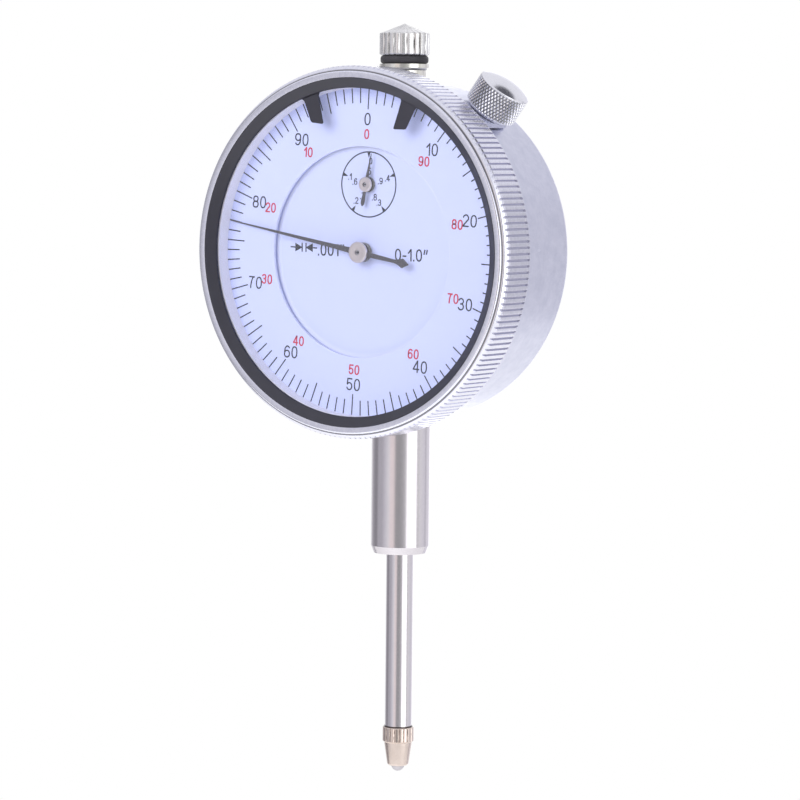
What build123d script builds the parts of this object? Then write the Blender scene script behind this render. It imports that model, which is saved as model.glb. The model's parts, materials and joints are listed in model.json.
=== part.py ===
"""Dial indicator, 0-1.0 inch by .001 inch, with a 3/8 inch stem and a lug back.

Millimetres, +Z up. The dial faces -Y. The origin is on the stem's axis, within the length that a
holder clamps. "Depth" is measured from the bezel's front towards the back, along +Y, and
heights of the movement are measured from the dial's axis. The spindle is at rest, fully down.
"""

from math import atan2, ceil, cos, degrees, hypot, pi, radians, sin, sqrt
import os

from build123d import *

# ---- Driving dimensions ------------------------------------------------------------------------
INCH = 25.4
STEM_RADIUS = 3 / 8 * INCH / 2
DIAL_HEIGHT = 38.2          # dial axis above the origin
STEM_DEPTH = 16.51          # stem and spindle axis behind the bezel's front
TRAVEL = 26.4               # 1.0 inch of reading and a little over
TRAVEL_PER_TURN = 0.1 * INCH
BEZEL_RADIUS = 29.76
CASE_RADIUS = 27.27
CASE_BACK = 23.74
DIAL_DEPTH = 4.14           # front face of the graduated ring
CENTRE_DIAL_DEPTH = 5.2     # front face of the fixed middle dial
DIAL_TURN = 3.12            # the bezel is set this far clockwise, in degrees
SPINDLE_RADIUS = 2.2
RUNNING = 0.05              # radial clearance of everything that turns or slides
GAP = 0.04                  # clearance between faces that pass each other

# ---- Stem and spindle heights, from the dial's axis ---------------------------------------------
STEM_TOP = -24.4
STEM_SHOULDER = -27.3
STEM_END = -49.42
CONTACT_TOP = -78.32
CONTACT_COLLAR_END = -80.73
CONTACT_TAPER_END = -84.69
CONTACT_TIP = -85.68
CAP_BASE = 31.63
CAP_EDGE = 35.26
CAP_APEX = 36.76
BUMPER_BASE = 30.29
BUSH_FLANGE = 29.61
BUSH_SEAT = 26.9

# ---- Depths of the case and the movement --------------------------------------------------------
CASE_FRONT = 5.2
CASE_BORE = 25.4
LEDGE_BORE = 23.3
FRONT_PLATE = (5.9, 7.3)
REAR_PLATE = (12.2, 13.3)
RACK_PLATE = (19.7, 20.9)
COVER_FRONT = 22.24
SKIRT_BORE = CASE_RADIUS + 0.1
SNAP_DEPTH = 6.4

# ---- Gear train ---------------------------------------------------------------------------------
CENTRE_TEETH = 12
WHEEL_TEETH = 60
RACK_PINION_TEETH = 20
COUNTER_AXIS = (0.78, 10.85)
CENTRE_DISTANCE = hypot(*COUNTER_AXIS)
WHEEL_MODULE = 2 * CENTRE_DISTANCE / (CENTRE_TEETH + WHEEL_TEETH)
WHEEL_RATIO = WHEEL_TEETH / CENTRE_TEETH
RACK_PITCH = TRAVEL_PER_TURN * WHEEL_RATIO / RACK_PINION_TEETH
RACK_MODULE = RACK_PITCH / pi
RACK_LINE = -1.5
RACK_AXIS_X = RACK_LINE - RACK_MODULE * RACK_PINION_TEETH / 2
RACK_AXIS = (RACK_AXIS_X, -sqrt(CENTRE_DISTANCE ** 2 - RACK_AXIS_X ** 2))
TAKEUP_ANGLE = -15.0
TAKEUP_AXIS = (CENTRE_DISTANCE * cos(radians(TAKEUP_ANGLE)),
               CENTRE_DISTANCE * sin(radians(TAKEUP_ANGLE)))
TIP_SHARE, ROOT_SHARE = 0.26, 0.60      # tooth width at tip and root, as a share of the pitch
ADDENDUM, DEDENDUM = 0.75, 1.1          # tooth height above and below the pitch line, in modules
ARBOR_RADIUS = 0.7
PIVOT_RADIUS = 0.4
BUSH_RADIUS = 1.4

# ---- Bezel lock ---------------------------------------------------------------------------------
LOCK_ANGLE = 37.15          # clockwise from the top
LOCK_DEPTH = 15.0
LOCK_RADIUS = 4.4
LOCK_BASE, LOCK_RIM, LOCK_CREST = 28.55, 33.4, 34.5

# ---- Places of posts and screws, across and up from the dial's axis -----------------------------
PILLARS = [(-18.2, 3.0), (14.6, 13.0), (10.5, -17.0)]
RACK_POSTS = [(-9.4, -15.2), (-9.4, 1.0), (-9.4, 14.4)]
SPRING_AXIS = (5.6, 16.5)               # across, and depth
SPRING_LOW, SPRING_HIGH = -19.4, -5.5
GUIDE_HEIGHT = -13.5                    # roller on the spindle that runs in the rack plate's slot
GUIDE_RADIUS = 1.2
HAIRSPRING_DEPTH = 11.0
HAIRSPRING_STUD_RADIUS = 0.6


def angle_of(point):
    """Angle of a point seen from the front, anticlockwise from +X, in degrees."""
    return degrees(atan2(point[1], point[0]))


def polar(radius, angle):
    """Point at a radius and an anticlockwise angle in degrees."""
    return (radius * cos(radians(angle)), radius * sin(radians(angle)))


def front_plane(depth):
    """Plane seen from the front at a depth: local x is +X, local y is +Z."""
    return Plane(origin=(0, depth - STEM_DEPTH, DIAL_HEIGHT), x_dir=(1, 0, 0), z_dir=(0, -1, 0))


def plate(sketch, depth, thickness):
    """A flat piece cut from a sketch, from a depth backwards."""
    return extrude(front_plane(depth) * sketch, amount=-thickness)


def disc(radius, depth, thickness, centre=(0, 0), bore=0):
    """A round plate or a rod along the dial's axis, with an optional bore."""
    sketch = Pos(*centre) * Circle(radius)
    if bore:
        sketch -= Pos(*centre) * Circle(bore)
    return plate(sketch, depth, thickness)


def turned(points):
    """A ring turned about the dial's axis, from (radius, depth) points."""
    plane = Plane(origin=(0, -STEM_DEPTH, DIAL_HEIGHT), x_dir=(1, 0, 0), z_dir=(0, 0, 1))
    outline = plane * make_face(Polyline(*points, close=True))
    return revolve(outline, Axis((0, 0, DIAL_HEIGHT), (0, 1, 0)))


def turned_up(points, plane=Plane((0, 0, DIAL_HEIGHT))):
    """A piece turned about the spindle's axis, or about a plane's normal, from (radius, height)."""
    outline = make_face(Plane.XZ * Polyline(*points, close=True))
    return plane * revolve(outline, Axis.Z)


def rod_up(radius, low, high, bore=0):
    """A rod or a tube along the spindle's axis."""
    return turned_up([(bore, low), (radius, low), (radius, high), (bore, high)])


def toothed(root, tip, teeth, phase=0.0, root_share=ROOT_SHARE, tip_share=TIP_SHARE):
    """Outline with straight-sided teeth; phase is the angle of one tooth, in degrees."""
    step = 360 / teeth
    points = []
    for index in range(teeth):
        middle = phase + index * step
        points.append(polar(root, middle - root_share * step / 2))
        points.append(polar(tip, middle - tip_share * step / 2))
        points.append(polar(tip, middle + tip_share * step / 2))
        points.append(polar(root, middle + root_share * step / 2))
    return make_face(Polyline(*points, close=True))


def gear(teeth, module, depth, thickness, centre, phase, bore=ARBOR_RADIUS):
    """A spur gear on an axis parallel to the dial's axis."""
    pitch_radius = teeth * module / 2
    outline = toothed(pitch_radius - DEDENDUM * module, pitch_radius + ADDENDUM * module, teeth, phase)
    return plate(Pos(*centre) * (outline - Circle(bore)), depth, thickness)


def wheel_phase(centre):
    """Tooth angle of a 60-tooth wheel in mesh with the centre pinion, whose tooth 0 points along +X."""
    towards = angle_of(centre)
    pinion_step = 360 / CENTRE_TEETH
    offset = (towards / pinion_step) % 1
    return towards + 180 + (offset + 0.5) * 360 / WHEEL_TEETH


def spoked_wheel(centre, depth):
    """A 60-tooth wheel with a boss and round windows."""
    window_radius, window_circle, windows = 2.0, 5.4, 5
    boss_radius, boss_height, thickness = 1.7, 0.5, 0.7
    wheel = gear(WHEEL_TEETH, WHEEL_MODULE, depth, thickness, centre, wheel_phase(centre))
    for index in range(windows):
        x, z = polar(window_circle, 90 + index * 360 / windows)
        wheel -= disc(window_radius, depth, thickness, (centre[0] + x, centre[1] + z))
    return wheel + disc(boss_radius, depth - boss_height, boss_height, centre, bore=ARBOR_RADIUS)


def stepped_rod(centre, steps):
    """A rod of stepped diameter; steps are (radius, from depth, to depth)."""
    return sum((disc(radius, start, end - start, centre) for radius, start, end in steps), Part())


def screw(centre, seat, head_radius, shank_radius, length, towards=1):
    """A slotted screw whose head sits on a face; its shank points backwards, or forwards for -1."""
    head_height = 0.6
    slot_width, slot_depth = 0.3 * head_radius, 0.3
    head_front = seat - head_height if towards > 0 else seat
    shank_front = seat if towards > 0 else seat - length
    slot_front = head_front if towards > 0 else seat + head_height - slot_depth
    body = disc(head_radius, head_front, head_height, centre)
    body += disc(shank_radius, shank_front, length, centre)
    slot = Pos(*centre) * Rectangle(2.2 * head_radius, slot_width)
    return body - plate(slot, slot_front, slot_depth)


def drill(shape, centres, radius, depth, thickness):
    """The shape with round holes through it."""
    for centre in centres:
        shape -= disc(radius, depth, thickness, centre)
    return shape


# ---- Case ---------------------------------------------------------------------------------------
COVER_RADIUS = 25.9
COVER_SCREWS = [polar(24.7, angle) for angle in (45, 135, 225, 315)]
PLATE_SCREWS = [polar(24.2, angle) for angle in (75, 210, 330)]
LOCK_PLANE = Plane(origin=(0, LOCK_DEPTH - STEM_DEPTH, DIAL_HEIGHT), x_dir=(0, 1, 0),
                   z_dir=(sin(radians(LOCK_ANGLE)), 0, cos(radians(LOCK_ANGLE))))
LOCK_BUSH_RADIUS = 2.6
BUSH_THREAD_RADIUS = 3.0
BUSH_NECK_RADIUS = 3.6
SCREW_SHANK = 0.6
STEM_SPIGOT = 4.2                       # stem's reduced end, pressed in the case wall
HEAD_RADIUS, TAP_DEPTH, SCREW_LENGTH = 1.3, 2.5, 3.4


def case():
    """Round body: wall, snap-ring groove, ledges for the movement and the cover, and bores."""
    groove_half, groove_radius, back_rounding = 0.55, 26.95, 1.0
    front_ledge_back, back_ledge_front = 8.8, 20.6
    stem_seat, seat_top, clear = STEM_RADIUS - 0.25, -26.0, 5.0
    tapped, lock_hole = 1.5, 10.0
    body = turned([
        (CASE_BORE, CASE_FRONT), (CASE_RADIUS, CASE_FRONT),
        (CASE_RADIUS, SNAP_DEPTH - groove_half), (groove_radius, SNAP_DEPTH - groove_half),
        (groove_radius, SNAP_DEPTH + groove_half), (CASE_RADIUS, SNAP_DEPTH + groove_half),
        (CASE_RADIUS, CASE_BACK), (COVER_RADIUS, CASE_BACK),
        (COVER_RADIUS, COVER_FRONT), (LEDGE_BORE, COVER_FRONT),
        (LEDGE_BORE, back_ledge_front), (CASE_BORE, back_ledge_front),
        (CASE_BORE, front_ledge_back), (LEDGE_BORE, front_ledge_back),
        (LEDGE_BORE, FRONT_PLATE[1]), (CASE_BORE, FRONT_PLATE[1]),
    ])
    rims = body.edges().filter_by(GeomType.CIRCLE).filter_by(lambda edge: edge.radius > CASE_BORE)
    body = fillet(rims.group_by(Axis.Y)[-1].sort_by(lambda edge: edge.radius)[-1], back_rounding)
    body += rod_up(stem_seat, STEM_SHOULDER, seat_top)
    body -= rod_up(STEM_SPIGOT, STEM_SHOULDER - clear, STEM_TOP + clear)
    body -= rod_up(BUSH_THREAD_RADIUS, 0, CASE_RADIUS + 1)
    body -= rod_up(BUSH_NECK_RADIUS, BUSH_SEAT, CASE_RADIUS + 1)
    body -= LOCK_PLANE * Pos(0, 0, CASE_RADIUS) * Cylinder(LOCK_BUSH_RADIUS, lock_hole)
    body = drill(body, PLATE_SCREWS, SCREW_SHANK, FRONT_PLATE[1], tapped)
    return drill(body, COVER_SCREWS, SCREW_SHANK, back_ledge_front, COVER_FRONT - back_ledge_front)


def back_cover():
    """Round cover with a vertical mounting lug, which has a 1/4 inch hole across it."""
    lug_thickness, lug_half_width, lug_reach, hole_radius = 3 / 16 * INCH, 6.5, 8.0, INCH / 8
    edge_rounding = 0.4
    cover = disc(COVER_RADIUS, COVER_FRONT, CASE_BACK - COVER_FRONT)
    cover = drill(cover, COVER_SCREWS, SCREW_SHANK, COVER_FRONT, CASE_BACK - COVER_FRONT)
    lug_y = CASE_BACK + lug_reach - STEM_DEPTH
    outline = Circle(lug_half_width) + Pos(-lug_reach / 2, 0) * Rectangle(lug_reach, 2 * lug_half_width)
    side = Plane(origin=(-lug_thickness / 2, lug_y, DIAL_HEIGHT), x_dir=(0, 1, 0), z_dir=(1, 0, 0))
    lug = extrude(side * outline, amount=lug_thickness)
    free_edges = lug.edges().filter_by(lambda edge: edge.center().Y > CASE_BACK - STEM_DEPTH + 1)
    lug = fillet(free_edges.filter_by(Axis.X, reverse=True), edge_rounding)
    return cover + lug - extrude(side * Circle(hole_radius), amount=lug_thickness)


def stem():
    """Ground 3/8 inch tube, bored for the lower bush, with a taper at its end and a spigot in the case."""
    bore, taper, taper_height = 3.2, 0.45, 1.2
    return turned_up([
        (bore, STEM_END), (STEM_RADIUS - taper, STEM_END), (STEM_RADIUS, STEM_END + taper_height),
        (STEM_RADIUS, STEM_SHOULDER), (STEM_SPIGOT, STEM_SHOULDER), (STEM_SPIGOT, STEM_TOP), (bore, STEM_TOP),
    ])


def lower_bush():
    """Bearing bush pressed in the stem's lower end."""
    recess, length, radius = 0.3, 8.0, 3.2
    low = STEM_END + recess
    return rod_up(radius, low, low + length, bore=SPINDLE_RADIUS + RUNNING)


def upper_bush():
    """Flanged bush screwed in the case's top, which guides the spindle and stops the cap."""
    flange_radius, low = 4.07, 25.0
    bore = SPINDLE_RADIUS + RUNNING
    return turned_up([
        (bore, low), (BUSH_THREAD_RADIUS, low), (BUSH_THREAD_RADIUS, BUSH_SEAT),
        (BUSH_NECK_RADIUS, BUSH_SEAT), (BUSH_NECK_RADIUS, BUSH_FLANGE - 0.4),
        (flange_radius, BUSH_FLANGE), (flange_radius, BUMPER_BASE - GAP), (bore, BUMPER_BASE - GAP),
    ])


# ---- Movement frame -----------------------------------------------------------------------------
ARBOR_AXES = {"centre": (0, 0), "counter": COUNTER_AXIS, "rack": RACK_AXIS, "takeup": TAKEUP_AXIS}
REAR_PLATE_RADIUS = 22.6
PILLAR_RADIUS = 1.5
DIAL_FEET = [(-12.0, 8.0), (12.5, 7.0)]
DIAL_FOOT_RADIUS = 0.6
SPIGOT_RADIUS = 0.8
SPRING_POST = (SPRING_AXIS[0], SPRING_LOW)
HAIRSPRING_STUD = (TAKEUP_AXIS[0] + 5.2, TAKEUP_AXIS[1])


def front_plate():
    """Round plate on the case's front ledge, which carries the dial and the front bearings."""
    thickness = FRONT_PLATE[1] - FRONT_PLATE[0]
    body = disc(CASE_BORE - 0.1, FRONT_PLATE[0], thickness)
    body = drill(body, ARBOR_AXES.values(), BUSH_RADIUS, FRONT_PLATE[0], thickness)
    body = drill(body, PLATE_SCREWS, SCREW_SHANK, FRONT_PLATE[0], thickness)
    body = drill(body, DIAL_FEET, DIAL_FOOT_RADIUS, FRONT_PLATE[0], thickness)
    return drill(body, PILLARS, SPIGOT_RADIUS, FRONT_PLATE[0], thickness)


def rear_plate():
    """Rear movement plate in front of the spindle, with windows over the wheels."""
    thickness = REAR_PLATE[1] - REAR_PLATE[0]
    windows, window_radius = [(-14.5, -7.0), (-11.5, 14.5), (17.0, 4.5)], 3.0
    small_holes = [*RACK_POSTS, SPRING_POST, HAIRSPRING_STUD]
    body = disc(REAR_PLATE_RADIUS, REAR_PLATE[0], thickness)
    body = drill(body, ARBOR_AXES.values(), BUSH_RADIUS, REAR_PLATE[0], thickness)
    body = drill(body, PILLARS, SCREW_SHANK, REAR_PLATE[0], thickness)
    body = drill(body, small_holes, DIAL_FOOT_RADIUS, REAR_PLATE[0], thickness)
    return drill(body, windows, window_radius, REAR_PLATE[0], thickness)


def rack_plate():
    """Plate behind the spindle, with the rack arbor's rear bearing and the slot that guides the spindle."""
    thickness = RACK_PLATE[1] - RACK_PLATE[0]
    width, height, corner, middle = 14.9, 35.0, 2.0, (-4.05, -0.5)
    slot_length, slot_middle = 30.6, -0.2
    sketch = Pos(*middle) * RectangleRounded(width, height, corner)
    sketch -= Pos(0, slot_middle) * Rectangle(2 * (GUIDE_RADIUS + RUNNING), slot_length)
    body = plate(sketch, RACK_PLATE[0], thickness)
    body = drill(body, [RACK_AXIS], BUSH_RADIUS, RACK_PLATE[0], thickness)
    return drill(body, RACK_POSTS, SCREW_SHANK, RACK_PLATE[0], thickness)


def tapped_post(centre, spigot, plates, back):
    """Post with a spigot in its front plate, up to its back plate, tapped from behind."""
    rod = stepped_rod(centre, [(spigot, *plates), (PILLAR_RADIUS, plates[1], back)])
    return rod - disc(SCREW_SHANK, back - TAP_DEPTH, TAP_DEPTH, centre)


def pillars():
    """Pillars between the two movement plates."""
    return [tapped_post(centre, SPIGOT_RADIUS, FRONT_PLATE, REAR_PLATE[0]) for centre in PILLARS]


def pillar_screws():
    return [screw(centre, REAR_PLATE[1], HEAD_RADIUS, SCREW_SHANK, SCREW_LENGTH, towards=-1)
            for centre in PILLARS]


def rack_posts():
    """Posts between the rear plate and the rack plate."""
    return [tapped_post(centre, DIAL_FOOT_RADIUS, REAR_PLATE, RACK_PLATE[0]) for centre in RACK_POSTS]


def rack_plate_screws():
    return [screw(centre, RACK_PLATE[1], HEAD_RADIUS, SCREW_SHANK, SCREW_LENGTH, towards=-1)
            for centre in RACK_POSTS]


def plate_screws():
    """Screws of the front movement plate, in the case's front ledge."""
    head_radius, length = 1.1, 2.8
    return [screw(centre, FRONT_PLATE[0], head_radius, SCREW_SHANK, length) for centre in PLATE_SCREWS]


def cover_screws():
    """Screws of the back cover, in the case's back ledge."""
    head_radius, length = 1.15, 2.9
    return [screw(centre, CASE_BACK, head_radius, SCREW_SHANK, length, towards=-1)
            for centre in COVER_SCREWS]


def bearings(axes, plates, bore):
    """Bearing bushes in one plate."""
    thickness = plates[1] - plates[0]
    return [disc(BUSH_RADIUS, plates[0], thickness, centre, bore=bore + RUNNING) for centre in axes]


def front_bearings():
    """The centre and counter arbors pass through their front bearings; the others end in them."""
    through = bearings([(0, 0), COUNTER_AXIS], FRONT_PLATE, ARBOR_RADIUS)
    return through + bearings([RACK_AXIS, TAKEUP_AXIS], FRONT_PLATE, PIVOT_RADIUS)


def rear_bearings():
    ends = bearings([(0, 0), COUNTER_AXIS, TAKEUP_AXIS], REAR_PLATE, PIVOT_RADIUS)
    return ends + bearings([RACK_AXIS], REAR_PLATE, ARBOR_RADIUS)


def rack_bearing():
    return bearings([RACK_AXIS], RACK_PLATE, PIVOT_RADIUS)


def spring_post():
    """Fixed anchor of the return spring."""
    past_spring = 1.4
    return stepped_rod(SPRING_POST, [(DIAL_FOOT_RADIUS, REAR_PLATE[0], SPRING_AXIS[1] + past_spring)])


def return_spring():
    """Extension spring that pulls the spindle down."""
    coil_radius, wire_radius, turns = 1.3, 0.2, 12
    low = SPRING_LOW + DIAL_FOOT_RADIUS + wire_radius
    high = SPRING_HIGH - wire_radius
    helix = Helix(pitch=(high - low) / turns, height=high - low, radius=coil_radius)
    section = Plane(origin=helix @ 0, z_dir=helix % 0) * Circle(wire_radius)
    coil = sweep(section, path=helix, is_frenet=True)
    return Pos(SPRING_AXIS[0], SPRING_AXIS[1] - STEM_DEPTH, DIAL_HEIGHT + low) * coil


def hairspring():
    """Flat spiral that takes up the backlash of the train, fixed to its stud."""
    turns, inner, strip, width, per_turn = 5, 1.55, 0.12, 0.5, 16
    outer = HAIRSPRING_STUD[0] - TAKEUP_AXIS[0] - HAIRSPRING_STUD_RADIUS - strip / 2
    count = turns * per_turn
    radii = [inner + (outer - inner) * index / count for index in range(count + 1)]
    angles = [360 * index / per_turn for index in range(count + 1)]
    outside = [polar(radius + strip / 2, angle) for radius, angle in zip(radii, angles)]
    inside = [polar(radius - strip / 2, angle) for radius, angle in zip(radii, angles)]
    strip_face = make_face(Polyline(*outside, *reversed(inside), close=True))
    return plate(Pos(*TAKEUP_AXIS) * strip_face, HAIRSPRING_DEPTH, width)


def hairspring_stud():
    front = HAIRSPRING_DEPTH - 0.2
    return stepped_rod(HAIRSPRING_STUD, [(HAIRSPRING_STUD_RADIUS, front, REAR_PLATE[1])])


def centre_dial():
    """Fixed middle dial on two shouldered feet."""
    radius, thickness, hole, shoulder, foot_depth = 17.8, 0.4, 1.0, 1.2, 1.2
    back = CENTRE_DIAL_DEPTH + thickness
    body = disc(radius, CENTRE_DIAL_DEPTH, thickness)
    body = drill(body, [(0, 0), COUNTER_AXIS], hole, CENTRE_DIAL_DEPTH, thickness)
    for foot in DIAL_FEET:
        body += disc(shoulder, back, FRONT_PLATE[0] - back, foot)
        body += disc(DIAL_FOOT_RADIUS, FRONT_PLATE[0], foot_depth, foot)
    return body


# ---- Spindle ------------------------------------------------------------------------------------
PIN_RADIUS = 0.8
CAP_STUD_RADIUS, CAP_STUD_TOP = 1.5, 34.4
CONTACT_THREAD_RADIUS, CONTACT_THREAD_LENGTH = 1.4, 5.0
BALL_RADIUS = 1.12


def rack_cutter():
    """What is cut from the spindle's left side to leave the rack's teeth."""
    gaps = ceil((TRAVEL + 6 * RACK_PITCH) / RACK_PITCH)
    top = RACK_AXIS[1] + 3 * RACK_PITCH
    tip_x = RACK_LINE - ADDENDUM * RACK_MODULE
    root_x = RACK_LINE + DEDENDUM * RACK_MODULE
    mouth_half = (1 - TIP_SHARE) * RACK_PITCH / 2
    floor_half = (1 - ROOT_SHARE) * RACK_PITCH / 2
    outside = -SPINDLE_RADIUS - 1
    points = [(outside, top + RACK_PITCH / 2), (tip_x, top + RACK_PITCH / 2)]
    for index in range(gaps):
        middle = top - index * RACK_PITCH
        points += [(tip_x, middle + mouth_half), (root_x, middle + floor_half),
                   (root_x, middle - floor_half), (tip_x, middle - mouth_half)]
    low = top - (gaps - 0.5) * RACK_PITCH
    points += [(tip_x, low), (outside, low)]
    sketch = make_face(Polyline(*points, close=True))
    return plate(sketch, STEM_DEPTH - SPINDLE_RADIUS - 1, 2 * SPINDLE_RADIUS + 2)


def spindle():
    """Ground rod with the rack, a tapped lower end and a stud for the cap."""
    rod = turned_up([(0, CONTACT_TOP), (SPINDLE_RADIUS, CONTACT_TOP), (SPINDLE_RADIUS, CAP_BASE),
                     (CAP_STUD_RADIUS, CAP_BASE), (CAP_STUD_RADIUS, CAP_STUD_TOP), (0, CAP_STUD_TOP)])
    rod -= rod_up(CONTACT_THREAD_RADIUS, CONTACT_TOP, CONTACT_TOP + CONTACT_THREAD_LENGTH)
    rod -= disc(PIN_RADIUS, STEM_DEPTH, SPINDLE_RADIUS + 1, (0, GUIDE_HEIGHT))
    return rod - rack_cutter()


def guide_pin():
    """Pin in the spindle that carries the guide roller in the slot."""
    end = RACK_PLATE[1] + 0.3
    return disc(PIN_RADIUS, STEM_DEPTH, end - STEM_DEPTH, (0, GUIDE_HEIGHT))


def guide_roller():
    width = RACK_PLATE[1] - RACK_PLATE[0]
    return disc(GUIDE_RADIUS, RACK_PLATE[0], width, (0, GUIDE_HEIGHT), bore=PIN_RADIUS)


def spring_arm():
    """Collar on the spindle with an arm that the return spring hooks on."""
    collar_radius, collar_low, collar_high = 3.0, -6.0, -3.0
    arm_half, arm_width = 0.8, 2.0
    arm_start, arm_end = SPINDLE_RADIUS + 0.4, SPRING_AXIS[0] + 1.2
    collar = rod_up(collar_radius, collar_low, collar_high, bore=SPINDLE_RADIUS)
    outline = Pos((arm_start + arm_end) / 2, SPRING_HIGH + arm_half) * \
        Rectangle(arm_end - arm_start, 2 * arm_half)
    return collar + plate(outline, SPRING_AXIS[1] - arm_width / 2, arm_width)


def fluted_up(root, tip, flutes, low, high, share=(0.72, 0.44)):
    """A rod with lengthwise flutes, along the spindle's axis."""
    outline = toothed(root, tip, flutes, root_share=share[0], tip_share=share[1])
    return Pos(0, 0, DIAL_HEIGHT + low) * extrude(outline, amount=high - low)


def lifting_cap():
    """Fluted knob with a cone top, screwed on the spindle's upper end."""
    root, tip, flutes = 3.78, 4.08, 22
    body = fluted_up(root, tip, flutes, CAP_BASE, CAP_EDGE)
    body += turned_up([(0, CAP_EDGE), (root, CAP_EDGE), (0, CAP_APEX)])
    return body - rod_up(CAP_STUD_RADIUS, CAP_BASE, CAP_STUD_TOP)


def cap_bumper():
    """Rubber ring under the cap, which lands on the upper bush."""
    radius, round_off = 3.9, 0.5
    ring = rod_up(radius, BUMPER_BASE, CAP_BASE, bore=SPINDLE_RADIUS)
    rims = [edge for edge in ring.edges().filter_by(GeomType.CIRCLE) if edge.radius > SPINDLE_RADIUS + 1]
    return fillet(rims, round_off)


def contact_point():
    """Screwed contact: fluted collar, taper, and a seat for the ball."""
    collar_root, collar_tip, flutes = 2.36, 2.56, 20
    taper_top, taper_end, chamfer = 2.3, 1.745, 0.3
    body = fluted_up(collar_root, collar_tip, flutes, CONTACT_COLLAR_END, CONTACT_TOP)
    body += turned_up([(0, CONTACT_TAPER_END), (taper_end - chamfer, CONTACT_TAPER_END),
                       (taper_end, CONTACT_TAPER_END + chamfer), (taper_top, CONTACT_COLLAR_END),
                       (0, CONTACT_COLLAR_END)])
    body += rod_up(CONTACT_THREAD_RADIUS, CONTACT_TOP, CONTACT_TOP + CONTACT_THREAD_LENGTH - 0.5)
    return body - contact_ball()


def contact_ball():
    return Pos(0, 0, DIAL_HEIGHT + CONTACT_TIP + BALL_RADIUS) * Sphere(BALL_RADIUS)


# ---- Arbors, gears and hands --------------------------------------------------------------------
FIRST_WHEELS, SECOND_WHEEL = 8.4, 9.8
END_SHAKE = 0.2             # endwise clearance of the arbors
REAR_SHOULDER = REAR_PLATE[0] - END_SHAKE
REAR_PIVOT_END = REAR_PLATE[1] - END_SHAKE
FRONT_SHOULDER = FRONT_PLATE[1] + END_SHAKE
FRONT_PIVOT_START = FRONT_PLATE[0] + END_SHAKE
MAIN_HUB = 3.1
MAIN_HAND = 3.62
MAIN_HAND_THICKNESS = 0.14
COUNTER_HUB = 3.92
COUNTER_HAND = 4.32
COUNTER_HAND_THICKNESS = 0.1
MAIN_HUB_FACE, COUNTER_HUB_FACE = 0.3, 0.2      # thickness of the hubs' faces
DIVISIONS, MAIN_READING = 100, 77
COUNTER_HAND_TURN = 11.5    # degrees clockwise from the top


def centre_arbor():
    return stepped_rod((0, 0), [(ARBOR_RADIUS, MAIN_HUB + MAIN_HUB_FACE, REAR_SHOULDER),
                                (PIVOT_RADIUS, REAR_SHOULDER, REAR_PIVOT_END)])


def centre_pinion():
    front, width = 7.7, 3.1
    return gear(CENTRE_TEETH, WHEEL_MODULE, front, width, (0, 0), 0)


def counter_arbor():
    return stepped_rod(COUNTER_AXIS, [(ARBOR_RADIUS, COUNTER_HUB + COUNTER_HUB_FACE, REAR_SHOULDER),
                                      (PIVOT_RADIUS, REAR_SHOULDER, REAR_PIVOT_END)])


def rack_arbor():
    rear = RACK_PLATE[0] - END_SHAKE
    return stepped_rod(RACK_AXIS, [(PIVOT_RADIUS, FRONT_PIVOT_START, FRONT_SHOULDER),
                                   (ARBOR_RADIUS, FRONT_SHOULDER, rear),
                                   (PIVOT_RADIUS, rear, RACK_PLATE[1] - END_SHAKE)])


def rack_pinion():
    front, width = 14.6, 3.8
    return gear(RACK_PINION_TEETH, RACK_MODULE, front, width, RACK_AXIS, 0)


def takeup_arbor():
    return stepped_rod(TAKEUP_AXIS, [(PIVOT_RADIUS, FRONT_PIVOT_START, FRONT_SHOULDER),
                                     (ARBOR_RADIUS, FRONT_SHOULDER, REAR_SHOULDER),
                                     (PIVOT_RADIUS, REAR_SHOULDER, REAR_PIVOT_END)])


def hairspring_collet():
    radius, front, width = 1.4, HAIRSPRING_DEPTH - 0.1, 0.7
    return disc(radius, front, width, TAKEUP_AXIS, bore=ARBOR_RADIUS)


def hand(outline, clockwise, centre, depth, thickness):
    """A flat hand drawn pointing up, turned clockwise about its arbor."""
    eye = 0.5
    blank = make_face(Polyline(*outline, close=True)) + Circle(ARBOR_RADIUS + eye)
    blank -= Circle(ARBOR_RADIUS)
    return plate(Pos(*centre) * Rot(0, 0, -clockwise) * blank, depth, thickness)


def main_hand():
    """Long tapered hand with an arrow-shaped tail."""
    length, root_half, tip_half = 25.7, 0.5, 0.1
    neck, neck_half, barb, barb_half, tail = 7.2, 0.3, 8.5, 0.8, 9.7
    right = [(tip_half, length), (root_half, 0), (neck_half, -neck), (barb_half, -barb), (0, -tail)]
    outline = right + [(-x, y) for x, y in reversed(right) if x]
    clockwise = DIAL_TURN + MAIN_READING * 360 / DIVISIONS
    return hand(outline, clockwise, (0, 0), MAIN_HAND, MAIN_HAND_THICKNESS)


def counter_hand():
    """Small hand with a spade-shaped tail."""
    right = [(0.08, 5.05), (0.42, 0), (0.3, -1.6), (0.42, -2.7), (0.3, -3.35), (0, -3.6)]
    outline = right + [(-x, y) for x, y in reversed(right) if x]
    return hand(outline, COUNTER_HAND_TURN, COUNTER_AXIS, COUNTER_HAND, COUNTER_HAND_THICKNESS)


def hub(centre, radius, front, back, face, hole):
    """Round cap pressed on an arbor's end, with a small hole in its face."""
    body = disc(radius, front, back - front, centre)
    body -= disc(ARBOR_RADIUS, front + face, back - front - face, centre)
    return body - disc(hole, front, face, centre)


def collar(centre, front, steps):
    """Collar behind a hand, down to the dial; steps are (radius, length)."""
    radii = [radius for radius, _ in steps]
    faces = [front + sum(length for _, length in steps[:index]) for index in range(len(steps) + 1)]
    body = stepped_rod(centre, list(zip(radii, faces, faces[1:])))
    return body - disc(ARBOR_RADIUS, front, faces[-1] - front, centre)


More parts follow.
